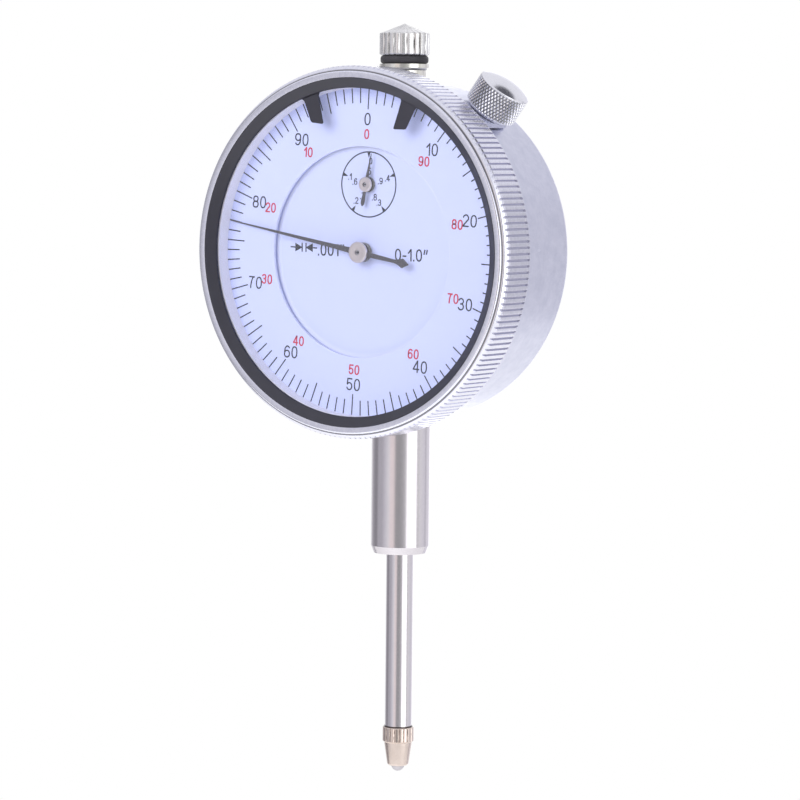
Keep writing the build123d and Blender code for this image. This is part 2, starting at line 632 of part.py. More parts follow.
def main_hub():
    radius, hole = 1.7, 0.42
    return hub((0, 0), radius, MAIN_HUB, MAIN_HAND, MAIN_HUB_FACE, hole)


def main_hub_collar():
    return collar((0, 0), MAIN_HAND + MAIN_HAND_THICKNESS, [(1.1, 0.5), (1.57, 0.8)])


def counter_hub():
    radius, hole = 1.2, 0.3
    return hub(COUNTER_AXIS, radius, COUNTER_HUB, COUNTER_HAND, COUNTER_HUB_FACE, hole)


def counter_hub_collar():
    return collar(COUNTER_AXIS, COUNTER_HAND + COUNTER_HAND_THICKNESS, [(0.95, 0.25), (1.25, 0.4)])


# ---- Bezel group --------------------------------------------------------------------------------
SERRATIONS, SERRATION_DEPTH = 192, 0.35
BAND_FRONT, BAND_BACK, BEZEL_BACK, CORE_RADIUS = 1.45, 7.45, 7.6, 28.6
GLASS_FRONT, GLASS_BACK, GLASS_SEAT = 1.65, 2.95, 27.3
STACK_RADIUS = GLASS_SEAT - 0.05        # crystal, spacer, dial ring and retainer
DIAL_THICKNESS, DIAL_BORE = 0.5, 16.95
RETAINER_THICKNESS, RETAINER_BORE = 0.3, 26.0
RING_INNER, RING_OUTER, RING_SEAT, RING_BACK = 26.2, 28.08, 0.95, 1.34
MARKER_ANGLES = {"left": -17.9, "right": 24.3}      # clockwise from the top


def bezel():
    """Rim with its bead, shoulder and serrated band, and one bore for the crystal, spacer and dial ring."""
    skirt_front, wire_half, wire_seat, lip = 5.1, 0.45, 27.95, 29.5
    core = turned([
        (RING_OUTER, -0.05), (28.62, -0.05), (28.8, 0.1), (28.85, 0.45), (29.2, 0.5), (29.5, 0.75),
        (29.68, 1.05), (BEZEL_RADIUS, BAND_FRONT), (CORE_RADIUS, BAND_FRONT), (CORE_RADIUS, BAND_BACK),
        (lip, BAND_BACK), (lip, BEZEL_BACK), (SKIRT_BORE, BEZEL_BACK), (SKIRT_BORE, SNAP_DEPTH + wire_half),
        (wire_seat, SNAP_DEPTH + wire_half), (wire_seat, SNAP_DEPTH - wire_half),
        (SKIRT_BORE, SNAP_DEPTH - wire_half), (SKIRT_BORE, skirt_front), (GLASS_SEAT, skirt_front),
        (GLASS_SEAT, RING_SEAT), (RING_OUTER, RING_SEAT),
    ])
    ridges = toothed(BEZEL_RADIUS - SERRATION_DEPTH, BEZEL_RADIUS, SERRATIONS, root_share=0.7, tip_share=0.4)
    return core + plate(ridges - Circle(CORE_RADIUS), BAND_FRONT, BAND_BACK - BAND_FRONT)


def snap_ring():
    """Open wire ring that holds the bezel on the case."""
    wire_radius, ring_radius, opening = 0.4, 27.5, 20
    plane = Plane(origin=(0, -STEM_DEPTH, DIAL_HEIGHT), x_dir=(1, 0, 0), z_dir=(0, 0, 1))
    section = plane * Pos(ring_radius, SNAP_DEPTH) * Circle(wire_radius)
    return revolve(section, Axis((0, 0, DIAL_HEIGHT), (0, 1, 0)), 360 - opening)


def dial_ring():
    """Graduated ring that turns with the bezel."""
    return disc(STACK_RADIUS, DIAL_DEPTH, DIAL_THICKNESS, bore=DIAL_BORE)


def dial_spacer():
    """Pale ring between the crystal and the dial ring."""
    return disc(STACK_RADIUS, GLASS_BACK, DIAL_DEPTH - GLASS_BACK, bore=RING_INNER)


def dial_retainer():
    """Split spring ring behind the graduated ring."""
    front, split = DIAL_DEPTH + DIAL_THICKNESS, 1.5
    ring = disc(STACK_RADIUS, front, RETAINER_THICKNESS, bore=RETAINER_BORE)
    return ring - plate(Pos(0, -STACK_RADIUS) * Rectangle(split, split * 2), front, RETAINER_THICKNESS)


def crystal():
    return disc(STACK_RADIUS, GLASS_FRONT, GLASS_BACK - GLASS_FRONT)


def crystal_ring():
    """Black ring with a sloping face that holds the crystal in."""
    inner_edge, land = 1.04, 0.12
    return turned([(RING_INNER, inner_edge), (RING_OUTER - land, 0.0), (RING_OUTER, 0.0),
                   (RING_OUTER, RING_SEAT), (GLASS_SEAT, RING_SEAT), (GLASS_SEAT, RING_BACK),
                   (RING_INNER, RING_BACK)])


def tolerance_marker(side):
    """Pointer under the black ring, with a hidden foot that slides round in the ring's slot."""
    thickness, foot_radius, foot_half, neck_radius, neck_half = 0.23, 27.15, 6.5, 26.35, 3.25
    foot_angles = (-foot_half, -foot_half / 2, 0, foot_half / 2, foot_half)
    foot = [polar(foot_radius, 90 + angle) for angle in foot_angles]
    neck = [polar(neck_radius, 90 + angle) for angle in (foot_half, neck_half)]
    end = [polar(22.1, 93.0), polar(21.15, 87.3)]
    shoulder = [polar(neck_radius, 90 - angle) for angle in (neck_half, foot_half)]
    points = foot + neck + end + shoulder
    if side == "right":
        points = [(-x, y) for x, y in points]
    sketch = Rot(0, 0, -MARKER_ANGLES[side]) * make_face(Polyline(*points, close=True))
    return plate(sketch, RING_BACK + GAP, thickness)


# ---- Bezel lock ---------------------------------------------------------------------------------
LOCK_SHANK, LOCK_SHANK_TOP = 1.5, 31.3


def lock_bush():
    """Tapped bush in the case wall for the lock screw."""
    middle, length = 25.1, 3.6
    ring = Cylinder(LOCK_BUSH_RADIUS, length) - Cylinder(LOCK_SHANK + RUNNING, length)
    return LOCK_PLANE * Pos(0, 0, middle) * ring


def lock_shoe():
    """Plate under the knob that reaches forward to the bezel's back edge."""
    low, high, width, corner = 27.4, 28.3, 6.0, 1.2
    front, back = BEZEL_BACK + 0.12 - LOCK_DEPTH, 3.0
    outline = Pos((front + back) / 2, 0) * Rectangle(back - front, width)
    outline = fillet(outline.vertices(), corner) - Circle(LOCK_SHANK)
    return LOCK_PLANE * Pos(0, 0, low) * extrude(outline, amount=high - low)


def lock_knob():
    """Knurled head with a domed top, bored for its shank."""
    chamfer, knurls, knurl_depth = 0.6, 44, 0.2
    root, rise = LOCK_RADIUS - knurl_depth, LOCK_CREST - LOCK_RIM
    dome_radius = (root ** 2 + rise ** 2) / (2 * rise)
    outline = toothed(root, LOCK_RADIUS, knurls, root_share=0.8, tip_share=0.3)
    body = Pos(0, 0, LOCK_BASE + chamfer) * extrude(outline, amount=LOCK_RIM - LOCK_BASE - chamfer)
    body += turned_up([(0, LOCK_BASE), (root - chamfer, LOCK_BASE), (root, LOCK_BASE + chamfer),
                       (0, LOCK_BASE + chamfer)], Plane.XY)
    dome = Pos(0, 0, LOCK_CREST - dome_radius) * Sphere(dome_radius)
    dome &= Pos(0, 0, LOCK_RIM + dome_radius) * Cylinder(root, 2 * dome_radius)
    return LOCK_PLANE * (body + dome - Cylinder(LOCK_SHANK, 2 * LOCK_SHANK_TOP))


def lock_screw():
    """Shank pressed in the knob and screwed through the case wall."""
    low = 24.2
    return LOCK_PLANE * Pos(0, 0, (low + LOCK_SHANK_TOP) / 2) * Cylinder(LOCK_SHANK, LOCK_SHANK_TOP - low)


NODES = {
    "case": case, "back_cover": back_cover, "cover_screws": cover_screws, "stem": stem,
    "lower_bush": lower_bush, "upper_bush": upper_bush,
    "front_plate": front_plate, "rear_plate": rear_plate, "rack_plate": rack_plate,
    "pillars": pillars, "pillar_screws": pillar_screws, "rack_posts": rack_posts,
    "rack_plate_screws": rack_plate_screws, "plate_screws": plate_screws,
    "front_bearings": front_bearings, "rear_bearings": rear_bearings, "rack_bearing": rack_bearing,
    "spring_post": spring_post, "return_spring": return_spring,
    "hairspring": hairspring, "hairspring_stud": hairspring_stud, "centre_dial": centre_dial,
    "spindle": spindle, "guide_pin": guide_pin, "guide_roller": guide_roller, "spring_arm": spring_arm,
    "lifting_cap": lifting_cap, "cap_bumper": cap_bumper, "contact_point": contact_point,
    "contact_ball": contact_ball,
    "rack_arbor": rack_arbor, "rack_pinion": rack_pinion,
    "rack_wheel": lambda: spoked_wheel(RACK_AXIS, FIRST_WHEELS),
    "centre_arbor": centre_arbor, "centre_pinion": centre_pinion, "main_hand": main_hand,
    "main_hub": main_hub, "main_hub_collar": main_hub_collar,
    "counter_arbor": counter_arbor, "counter_wheel": lambda: spoked_wheel(COUNTER_AXIS, FIRST_WHEELS),
    "counter_hand": counter_hand, "counter_hub": counter_hub, "counter_hub_collar": counter_hub_collar,
    "takeup_arbor": takeup_arbor, "takeup_wheel": lambda: spoked_wheel(TAKEUP_AXIS, SECOND_WHEEL),
    "hairspring_collet": hairspring_collet,
    "bezel": bezel, "snap_ring": snap_ring, "dial_ring": dial_ring,
    "dial_spacer": dial_spacer, "dial_retainer": dial_retainer,
    "crystal": crystal, "crystal_ring": crystal_ring,
    "tolerance_marker_left": lambda: tolerance_marker("left"),
    "tolerance_marker_right": lambda: tolerance_marker("right"),
    "lock_bush": lock_bush, "lock_shoe": lock_shoe, "lock_knob": lock_knob, "lock_screw": lock_screw,
}

os.makedirs("parts", exist_ok=True)
for name, make in NODES.items():
    shape = make()
    if isinstance(shape, list):
        shape = Compound([solid for piece in shape for solid in piece.solids()])
    export_step(shape, f"parts/{name}.step")
    print(name, round(shape.volume, 2))
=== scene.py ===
"""Looks of the dial indicator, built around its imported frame.

Sizes named here are millimetres, and Blender's are metres. "Depth" runs along +Y from the front of
the crystal's ring, "up" is height from the dial's axis, and angles on the dial are degrees
clockwise from its top, as its reader sees them.
"""
from collections import namedtuple
import json
from math import ceil, cos, pi, radians, sin, sqrt

import bmesh
import bpy
import numpy as np
from mathutils import Matrix, Vector


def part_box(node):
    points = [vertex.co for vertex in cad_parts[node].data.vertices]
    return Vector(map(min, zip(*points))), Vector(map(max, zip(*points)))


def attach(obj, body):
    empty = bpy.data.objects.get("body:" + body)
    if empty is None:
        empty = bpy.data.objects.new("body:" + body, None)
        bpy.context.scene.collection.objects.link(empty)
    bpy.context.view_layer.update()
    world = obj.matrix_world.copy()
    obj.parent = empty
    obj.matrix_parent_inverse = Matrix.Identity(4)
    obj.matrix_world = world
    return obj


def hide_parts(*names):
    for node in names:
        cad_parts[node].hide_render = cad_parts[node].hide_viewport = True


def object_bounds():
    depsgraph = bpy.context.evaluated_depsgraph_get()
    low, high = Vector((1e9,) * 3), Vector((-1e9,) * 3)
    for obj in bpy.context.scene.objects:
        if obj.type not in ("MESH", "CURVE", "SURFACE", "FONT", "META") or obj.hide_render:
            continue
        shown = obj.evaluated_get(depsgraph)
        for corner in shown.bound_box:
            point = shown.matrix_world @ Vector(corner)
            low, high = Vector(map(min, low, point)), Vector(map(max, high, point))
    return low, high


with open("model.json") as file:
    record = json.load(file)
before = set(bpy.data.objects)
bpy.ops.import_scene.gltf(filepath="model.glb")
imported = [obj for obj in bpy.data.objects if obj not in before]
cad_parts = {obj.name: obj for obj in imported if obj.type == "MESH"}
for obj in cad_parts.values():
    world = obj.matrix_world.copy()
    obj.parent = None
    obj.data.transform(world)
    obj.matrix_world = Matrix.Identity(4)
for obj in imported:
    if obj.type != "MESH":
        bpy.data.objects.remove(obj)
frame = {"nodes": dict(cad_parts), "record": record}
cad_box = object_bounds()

MM = 0.001
SEED = 11


# ---- Places, from the frame ---------------------------------------------------------------------
Axis = namedtuple("Axis", "origin across up along")
RING_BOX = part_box("crystal_ring")
DIAL_CENTRE = Vector((0, RING_BOX[0].y, (RING_BOX[0].z + RING_BOX[1].z) / 2))


def middle(node):
    """Middle of a node's box."""
    return (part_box(node)[0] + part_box(node)[1]) / 2


def front_of(node):
    """Depth of a node's front face."""
    return (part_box(node)[0].y - DIAL_CENTRE.y) / MM


def back_of(node):
    """Depth of a node's back face."""
    return (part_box(node)[1].y - DIAL_CENTRE.y) / MM


def radius_of(node):
    """Half of a node's width."""
    return (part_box(node)[1].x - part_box(node)[0].x) / 2 / MM


def bottom_of(node):
    """Height of a node's lowest point."""
    return (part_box(node)[0].z - DIAL_CENTRE.z) / MM


def top_of(node):
    """Height of a node's highest point."""
    return (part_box(node)[1].z - DIAL_CENTRE.z) / MM


def on_dial(axis):
    """Flat place (x, up) of an axis on the dial."""
    return ((axis.origin.x - DIAL_CENTRE.x) / MM, (axis.origin.z - DIAL_CENTRE.z) / MM)


X, Y, Z = Vector((1, 0, 0)), Vector((0, 1, 0)), Vector((0, 0, 1))
DIAL = Axis(DIAL_CENTRE, X, Z, Y)
COUNTER = Axis(Vector((middle("counter_hub").x, DIAL_CENTRE.y, middle("counter_hub").z)), X, Z, Y)
SPINDLE = Axis(Vector((0, middle("stem").y, DIAL_CENTRE.z)), X, Y, Z)
LOCK_FOOT = Vector((0, middle("lock_screw").y, DIAL_CENTRE.z))
LOCK_LINE = (middle("lock_screw") - LOCK_FOOT).normalized()
LOCK = Axis(LOCK_FOOT, Y, LOCK_LINE.cross(Y), LOCK_LINE)

RING_PLANE = front_of("dial_ring")
CENTRE_PLANE = front_of("centre_dial")
RIM = radius_of("bezel")
RING_TRIM = 0.22            # the bezel's face laps over the black ring's edge by this much
RING_OUTER = radius_of("crystal_ring") - RING_TRIM
RING_INNER = 26.2           # radius where the black ring ends and the clear crystal begins
RING_SEAT = 0.95            # depth of the bezel's shoulder behind the black ring
RING_SEAT_RADIUS = radius_of("crystal") + 0.05
DIAL_BORE = 16.95           # radius of the step from the graduated ring down to the middle dial
RING_TURN = 3.12            # the bezel and its dial ring are set this far clockwise
MAIN_TURN = RING_TURN + 277.2
COUNTER_TURN = 11.5
KNOB_RIM, KNOB_BASE, KNOB_EDGE = 4.4, 28.33, 33.4   # radius, and the ends of the knurled side
CONTACT_RIM = 2.56          # radius of the contact's fluted collar


# ---- Mesh helpers -------------------------------------------------------------------------------
def finished(name, mesh, sharp_angle):
    """Object of a mesh: repeated points merged, normals outward, smooth up to an angle in degrees."""
    merge_distance = 1e-7
    grid = bmesh.new()
    grid.from_mesh(mesh)
    bmesh.ops.remove_doubles(grid, verts=grid.verts, dist=merge_distance)
    bmesh.ops.recalc_face_normals(grid, faces=grid.faces)
    grid.to_mesh(mesh)
    grid.free()
    mesh.shade_smooth()
    mesh.set_sharp_from_angle(angle=radians(sharp_angle))
    made = bpy.data.objects.new(name, mesh)
    bpy.context.collection.objects.link(made)
    weighted = made.modifiers.new("weighted_normals", "WEIGHTED_NORMAL")
    weighted.keep_sharp = True
    return made


def mesh_of(name, points, faces, sharp_angle=35):
    """Object from points in metres and faces."""
    mesh = bpy.data.meshes.new(name)
    mesh.from_pydata(points, [], faces)
    return finished(name, mesh, sharp_angle)


def skin(name, points, closed_rows, sharp_angle):
    """Object from a grid of points, rows x columns x 3, whose columns run round and close."""
    rows, columns = points.shape[:2]
    index = np.arange(rows * columns).reshape(rows, columns)
    index = np.hstack([index, index[:, :1]])
    if closed_rows:
        index = np.vstack([index, index[:1]])
    quads = np.stack([index[:-1, :-1], index[:-1, 1:], index[1:, 1:], index[1:, :-1]], axis=-1)
    return mesh_of(name, points.reshape(-1, 3).tolist(), quads.reshape(-1, 4).tolist(), sharp_angle)


def rounded(corners, steps=4, closed=True):
    """Outline whose corners (x, y, reach) are rounded from that reach before to that reach after."""
    points = []
    count = len(corners)
    for index, (x, y, reach) in enumerate(corners):
        here = Vector((x, y))
        inner = closed or 0 < index < count - 1
        if not reach or not inner:
            points.append(here)
            continue
        back = Vector(corners[index - 1][:2]) - here
        ahead = Vector(corners[(index + 1) % count][:2]) - here
        start = here + back.normalized() * min(reach, 0.49 * back.length)
        end = here + ahead.normalized() * min(reach, 0.49 * ahead.length)
        for step in range(steps + 1):
            share = step / steps
            points.append(start * (1 - share) ** 2 + here * 2 * share * (1 - share) + end * share ** 2)
    return np.array([tuple(point) for point in points])


def finer(outline, spacing, low, high):
    """Outline with more points where its second coordinate is between two limits."""
    points = [outline[0]]
    for start, end in zip(outline[:-1], outline[1:]):
        inside = low <= min(start[1], end[1]) and max(start[1], end[1]) <= high
        pieces = ceil(np.linalg.norm(end - start) / spacing) if inside else 1
        points += [start + (end - start) * piece / pieces for piece in range(1, pieces + 1)]
    return np.array(points)


def turned(name, axis, outline, radius, turns, closed_rows, sharp_angle=35):
    """A piece round an axis, of radii (rows x columns, or x 1) at an outline's heights and at turns."""
    angles = 2 * pi * turns
    across = np.cos(angles)[:, None] * np.array(axis.across)
    up = np.sin(angles)[:, None] * np.array(axis.up)
    heights = (outline[:, 1:] * MM)[..., None] * np.array(axis.along)
    points = np.array(axis.origin) + (radius * MM)[..., None] * (across + up) + heights
    return skin(name, points, closed_rows, sharp_angle)


def lathe(name, axis, outline, columns=384, closed_rows=True):
    """A plain turned piece from an outline of (radius, height) points."""
    return turned(name, axis, outline, outline[:, :1], np.arange(columns) / columns, closed_rows)


def turn_clockwise(points, degrees, centre=(0, 0)):
    """Flat points turned clockwise about a centre."""
    angle = radians(degrees)
    turn = np.array([[cos(angle), -sin(angle)], [sin(angle), cos(angle)]])
    return np.array(points) @ turn + np.array(centre)


def inset(outline, distance):
    """Closed outline, given anticlockwise, moved inwards by a distance."""
    ahead = np.roll(outline, -1, axis=0) - outline
    ahead /= np.linalg.norm(ahead, axis=1)[:, None]
    behind = np.roll(ahead, 1, axis=0)
    inward_ahead = np.column_stack([-ahead[:, 1], ahead[:, 0]])
    inward_behind = np.column_stack([-behind[:, 1], behind[:, 0]])
    spread = 1 + np.sum(inward_ahead * inward_behind, axis=1)
    return outline + distance * (inward_ahead + inward_behind) / np.maximum(spread, 0.3)[:, None]


def at_depth(points, depth):
    """Flat (x, up) points in millimetres as points in metres at a depth."""
    flat = np.asarray(points) * MM
    y = np.full(len(flat), DIAL_CENTRE.y + depth * MM)
    return np.column_stack([flat[:, 0], y, flat[:, 1] + DIAL_CENTRE.z])


def plate(name, outline, front, back, edge):
    """A flat piece with rounded edges, from an anticlockwise outline and its front and back depths."""
    soft = 0.3 * edge
    layers = [(edge, front), (soft, front + soft), (0, front + edge),
              (0, back - edge), (soft, back - soft), (edge, back)]
    points = np.vstack([at_depth(inset(outline, amount), depth) for amount, depth in layers])
    count = len(outline)
    faces = [list(range(count)), list(range(len(points) - count, len(points)))]
    for layer in range(len(layers) - 1):
        for index in range(count):
            after = (index + 1) % count
            low, high = layer * count, (layer + 1) * count
            faces.append([low + index, low + after, high + after, high + index])
    return mesh_of(name, points.tolist(), faces)


# ---- Materials ----------------------------------------------------------------------------------
class Nodes:
    """Short ways to add nodes to a tree."""

    def __init__(self, tree):
        self.tree = tree

    def feed(self, socket, value):
        """Sets a socket to a value, or links it to another node's socket."""
        if isinstance(value, bpy.types.NodeSocket):
            self.tree.links.new(value, socket)
        else:
            socket.default_value = value

    def add(self, kind, settings=(), **inputs):
        """A node with its settings, and its inputs fed by name, or by number after an underscore."""
        node = self.tree.nodes.new(kind)
        for setting, value in dict(settings).items():
            setattr(node, setting, value)
        for name, value in inputs.items():
            key = int(name[1:]) if name[1:].isdigit() else name.replace("_", " ")
            self.feed(node.inputs[key], value)
        return node

    def maths(self, operation, first, second=0.0):
        """Result of an operation on one or two values."""
        return self.add("ShaderNodeMath", {"operation": operation}, _0=first, _1=second).outputs[0]

    def dot(self, first, second):
        """Dot product of two vectors."""
        node = self.add("ShaderNodeVectorMath", {"operation": "DOT_PRODUCT"}, _0=first, _1=second)
        return node.outputs["Value"]

    def vary(self, source, low, high, start=0.3, end=0.7):
        """A source's range from start to end, as a value from low to high."""
        return self.add("ShaderNodeMapRange", Value=source, From_Min=start, From_Max=end, To_Min=low,
                        To_Max=high).outputs["Result"]

    def blend(self, share, first, second):
        """Colour between two colours."""
        first, second = (colour if isinstance(colour, bpy.types.NodeSocket) else (*colour, 1)
                         for colour in (first, second))
        return self.add("ShaderNodeMix", {"data_type": "RGBA"}, _0=share, _6=first, _7=second).outputs[2]


class Look(Nodes):
    """A procedural material: a Principled shader and the nodes that feed it. Scales are per mm."""

    def __init__(self, name, **sockets):
        self.material = bpy.data.materials.new(name)
        self.material.use_nodes = True
        super().__init__(self.material.node_tree)
        self.shader = self.tree.nodes["Principled BSDF"]
        for socket, value in sockets.items():
            self.feed(self.shader.inputs[socket.replace("_", " ")], value)
        self.object_place = self.add("ShaderNodeTexCoord").outputs["Object"]

    def place(self, stretch=(1, 1, 1), centre=(0, 0, 0)):
        """Place on the object in millimetres from a centre in metres, stretched per axis."""
        scale = [amount / MM for amount in stretch]
        shift = [-amount * part for amount, part in zip(scale, centre)]
        node = self.add("ShaderNodeMapping", Vector=self.object_place, Location=shift, Scale=scale)
        return node.outputs[0]

    def along(self, axis):
        """Distance along an axis from its origin, in millimetres."""
        return self.dot(self.place(centre=axis.origin), axis.along)

    def radius(self, axis):
        """Distance from an axis in millimetres."""
        across = self.add("ShaderNodeVectorMath", {"operation": "CROSS_PRODUCT"},
                          _0=self.place(centre=axis.origin), _1=axis.along).outputs[0]
        return self.add("ShaderNodeVectorMath", {"operation": "LENGTH"}, _0=across).outputs["Value"]

    def turning(self, axis):
        """A measure that changes across the rings that a lathe leaves on any face about an axis."""
        return self.maths("ADD", self.radius(axis), self.along(axis))

    def noise(self, scale, place=None, detail=3.0, rough=0.55):
        """Cloud-like noise over the surface."""
        place = place or self.place()
        return self.add("ShaderNodeTexNoise", Vector=place, Scale=scale, Detail=detail,
                        Roughness=rough).outputs["Fac"]

    def rings(self, axis, scale, detail=4.0):
        """Noise that changes only across the turning rings about an axis."""
        return self.add("ShaderNodeTexNoise", {"noise_dimensions": "1D"}, W=self.turning(axis),
                        Scale=scale, Detail=detail, Roughness=0.7).outputs["Fac"]

    def specks(self, scale, size, place=None):
        """Scattered small spots: 1 in a spot, 0 elsewhere."""
        cells = self.add("ShaderNodeTexVoronoi", Vector=place or self.place(), Scale=scale)
        return self.vary(cells.outputs["Distance"], 1, 0, 0.6 * size, size)

    def paint(self, colour):
        """Makes a colour the base colour."""
        self.base = colour
        self.feed(self.shader.inputs["Base Color"], colour)

    def colour(self, share, first, second):
        """Base colour between two colours."""
        self.paint(self.blend(share, first, second))

    def grime(self, axis, radii, heights, colour):
        """Painted shade: another colour between two heights on an axis, up to the first radius, gone at the
        second.
        """
        soft = 0.04
        middle_height, half = (heights[0] + heights[1]) / 2, (heights[1] - heights[0]) / 2
        beyond = self.maths("ABSOLUTE", self.maths("SUBTRACT", self.along(axis), middle_height))
        outside = self.vary(beyond, 0, 1, half - soft, half + soft)
        unshaded = self.maths("MAXIMUM", self.vary(self.radius(axis), 0, 1, *radii), outside)
        self.paint(self.blend(unshaded, colour, self.base))

    def roughness(self, source, low, high):
        """Roughness that follows a source."""
        self.feed(self.shader.inputs["Roughness"], self.vary(source, low, high))

    def bump(self, *layers):
        """Bump from layers of (height source, height in mm)."""
        normal = None
        for source, height in layers:
            node = self.add("ShaderNodeBump", Height=source, Distance=height * MM, Strength=1.0)
            if normal:
                self.feed(node.inputs["Normal"], normal)
            normal = node.outputs["Normal"]
        self.feed(self.shader.inputs["Normal"], normal)


def satin_plate(name, light, dark, smooth, rough, grain=0.5, relief=0.0008):
    """Satin chrome plate over a turned surface, with clouds, fine rings, pits and a few scuffs."""
    look = Look(name, Metallic=1.0)
    scuffs = look.specks(0.16, 0.045, look.place((1, 0.5, 1)))
    clouds = look.maths("ADD", look.noise(grain, detail=6, rough=0.7), look.maths("MULTIPLY", scuffs, 0.5))
    look.colour(look.vary(clouds, 0, 1, 0.35, 0.65), dark, light)
    worn = look.maths("ADD", look.noise(1.5, detail=5), look.maths("MULTIPLY", scuffs, 0.35))
    look.roughness(worn, smooth, rough)
    pits = look.specks(0.9, 0.06)
    look.bump((look.rings(DIAL, 9.0), 0.0012), (look.noise(6.0, detail=4), relief), (pits, -0.004))
    return look


def ground_steel(name, light, dark):
    """Centreless-ground steel: fine rings round its axis, tiny pits, and clouds of lighter steel."""
    look = Look(name, Metallic=1.0)
    clouds = look.maths("MULTIPLY", look.noise(0.9, look.place((1, 1, 0.4)), detail=5), 0.4)
    grain = look.maths("MULTIPLY", look.noise(6.0, detail=2), 0.6)
    look.colour(look.maths("ADD", clouds, grain), dark, light)
    look.roughness(look.noise(4.0, look.place((1, 1, 2.5)), detail=6), 0.13, 0.24)
    pits = look.specks(2.4, 0.13)
    look.bump((look.rings(SPINDLE, 14.0), 0.0009), (look.noise(7.0, detail=5), 0.0018), (pits, -0.005))
    return look


def bright_metal(name, light, dark, smooth, rough, grain=5.0, height=0.0012):
    """Bright plated or polished metal with a little clouding and fine unevenness."""
    look = Look(name, Metallic=1.0)
    look.colour(look.noise(0.8, detail=4), dark, light)
    look.roughness(look.noise(grain, detail=5), smooth, rough)
    look.bump((look.noise(2.2 * grain, detail=4), height))
    return look


def cut_metal(name, light, dark, axis, smooth=0.22, rough=0.42, lines=7.0):
    """Turned or rolled metal with visible tool rings about an axis."""
    look = Look(name, Metallic=1.0)
    look.colour(look.noise(0.6, detail=5), dark, light)
    look.roughness(look.noise(3.0, detail=5), smooth, rough)
    look.bump((look.rings(axis, lines), 0.004), (look.noise(8.0), 0.0015))
    return look


def turned_face(name, light, dark, axis, hole):
    """Champagne plate on a faced hub: clear tool rings, and painted shade in a hole of a given radius."""
    look = Look(name, Metallic=0.85)
    tool = look.rings(axis, 11.0, detail=2.0)
    look.colour(tool, dark, light)
    # Painted shade: near-black in the hub's hole, round the arbor's end.
    look.grime(axis, (hole - 0.02, hole + 0.02), (0, RING_PLANE), (0.03, 0.03, 0.03))
    look.roughness(look.noise(5.0), 0.28, 0.42)
    look.bump((tool, 0.006))
    return look


def lacquer(name, light, dark, smooth, rough, grain=0.35, height=0.0015):
    """Painted or moulded surface with faint colour clouds and a fine orange peel."""
    look = Look(name)
    look.colour(look.noise(grain, detail=4), dark, light)
    look.roughness(look.noise(2.5, detail=4), smooth, rough)
    look.bump((look.noise(3.5, detail=3), height))
    return look


def dial_lacquer(light, dark, painted_step_light):
    """Dial paint, with painted light on the step between the graduated ring and the middle dial, lightening
    the shade that the step casts.
    """
    look = lacquer("dial_lacquer", light, dark, 0.42, 0.55)
    # Painted light: the paint turns lighter towards the foot of the step and on its wall.
    inside = look.vary(look.radius(DIAL), 0, 1, DIAL_BORE - 0.9, DIAL_BORE - 0.05)
    beyond = look.vary(look.radius(DIAL), 1, 0, DIAL_BORE + 0.01, DIAL_BORE + 0.03)
    look.paint(look.blend(look.maths("MULTIPLY", inside, beyond), look.base, painted_step_light))
    return look


def printing_ink(name, light, dark):
    """Pad-printed ink: patchy density and a slightly ragged surface."""
    look = Look(name, Specular_IOR_Level=0.25)
    look.colour(look.noise(7.0, detail=5), dark, light)
    look.roughness(look.noise(9.0), 0.4, 0.6)
    look.bump((look.noise(16.0), 0.002))
    return look


def rubber(name):
    """Black rubber with a dusty bloom and moulding grain."""
    look = Look(name)
    bloom = look.noise(1.2, detail=6)
    look.colour(bloom, (0.018, 0.017, 0.020), (0.066, 0.062, 0.070))
    look.roughness(bloom, 0.42, 0.68)
    look.bump((look.noise(5.0, detail=5), 0.02))
    return look


def clear_crystal(name):
    """Flat acrylic crystal: almost clear, with the faint haze of handling in its gloss."""
    look = Look(name, Alpha=0.05, IOR=1.49)
    look.colour(look.noise(0.12), (0.55, 0.57, 0.66), (0.62, 0.64, 0.72))
    look.roughness(look.noise(0.3, detail=5), 0.015, 0.05)
    look.bump((look.noise(0.08, detail=1), 0.003))
    return look


CHAMPAGNE = ((0.80, 0.73, 0.73), (0.55, 0.50, 0.51))
BLACK_PLASTIC = ((0.034, 0.033, 0.045), (0.022, 0.022, 0.031), 0.30, 0.42)

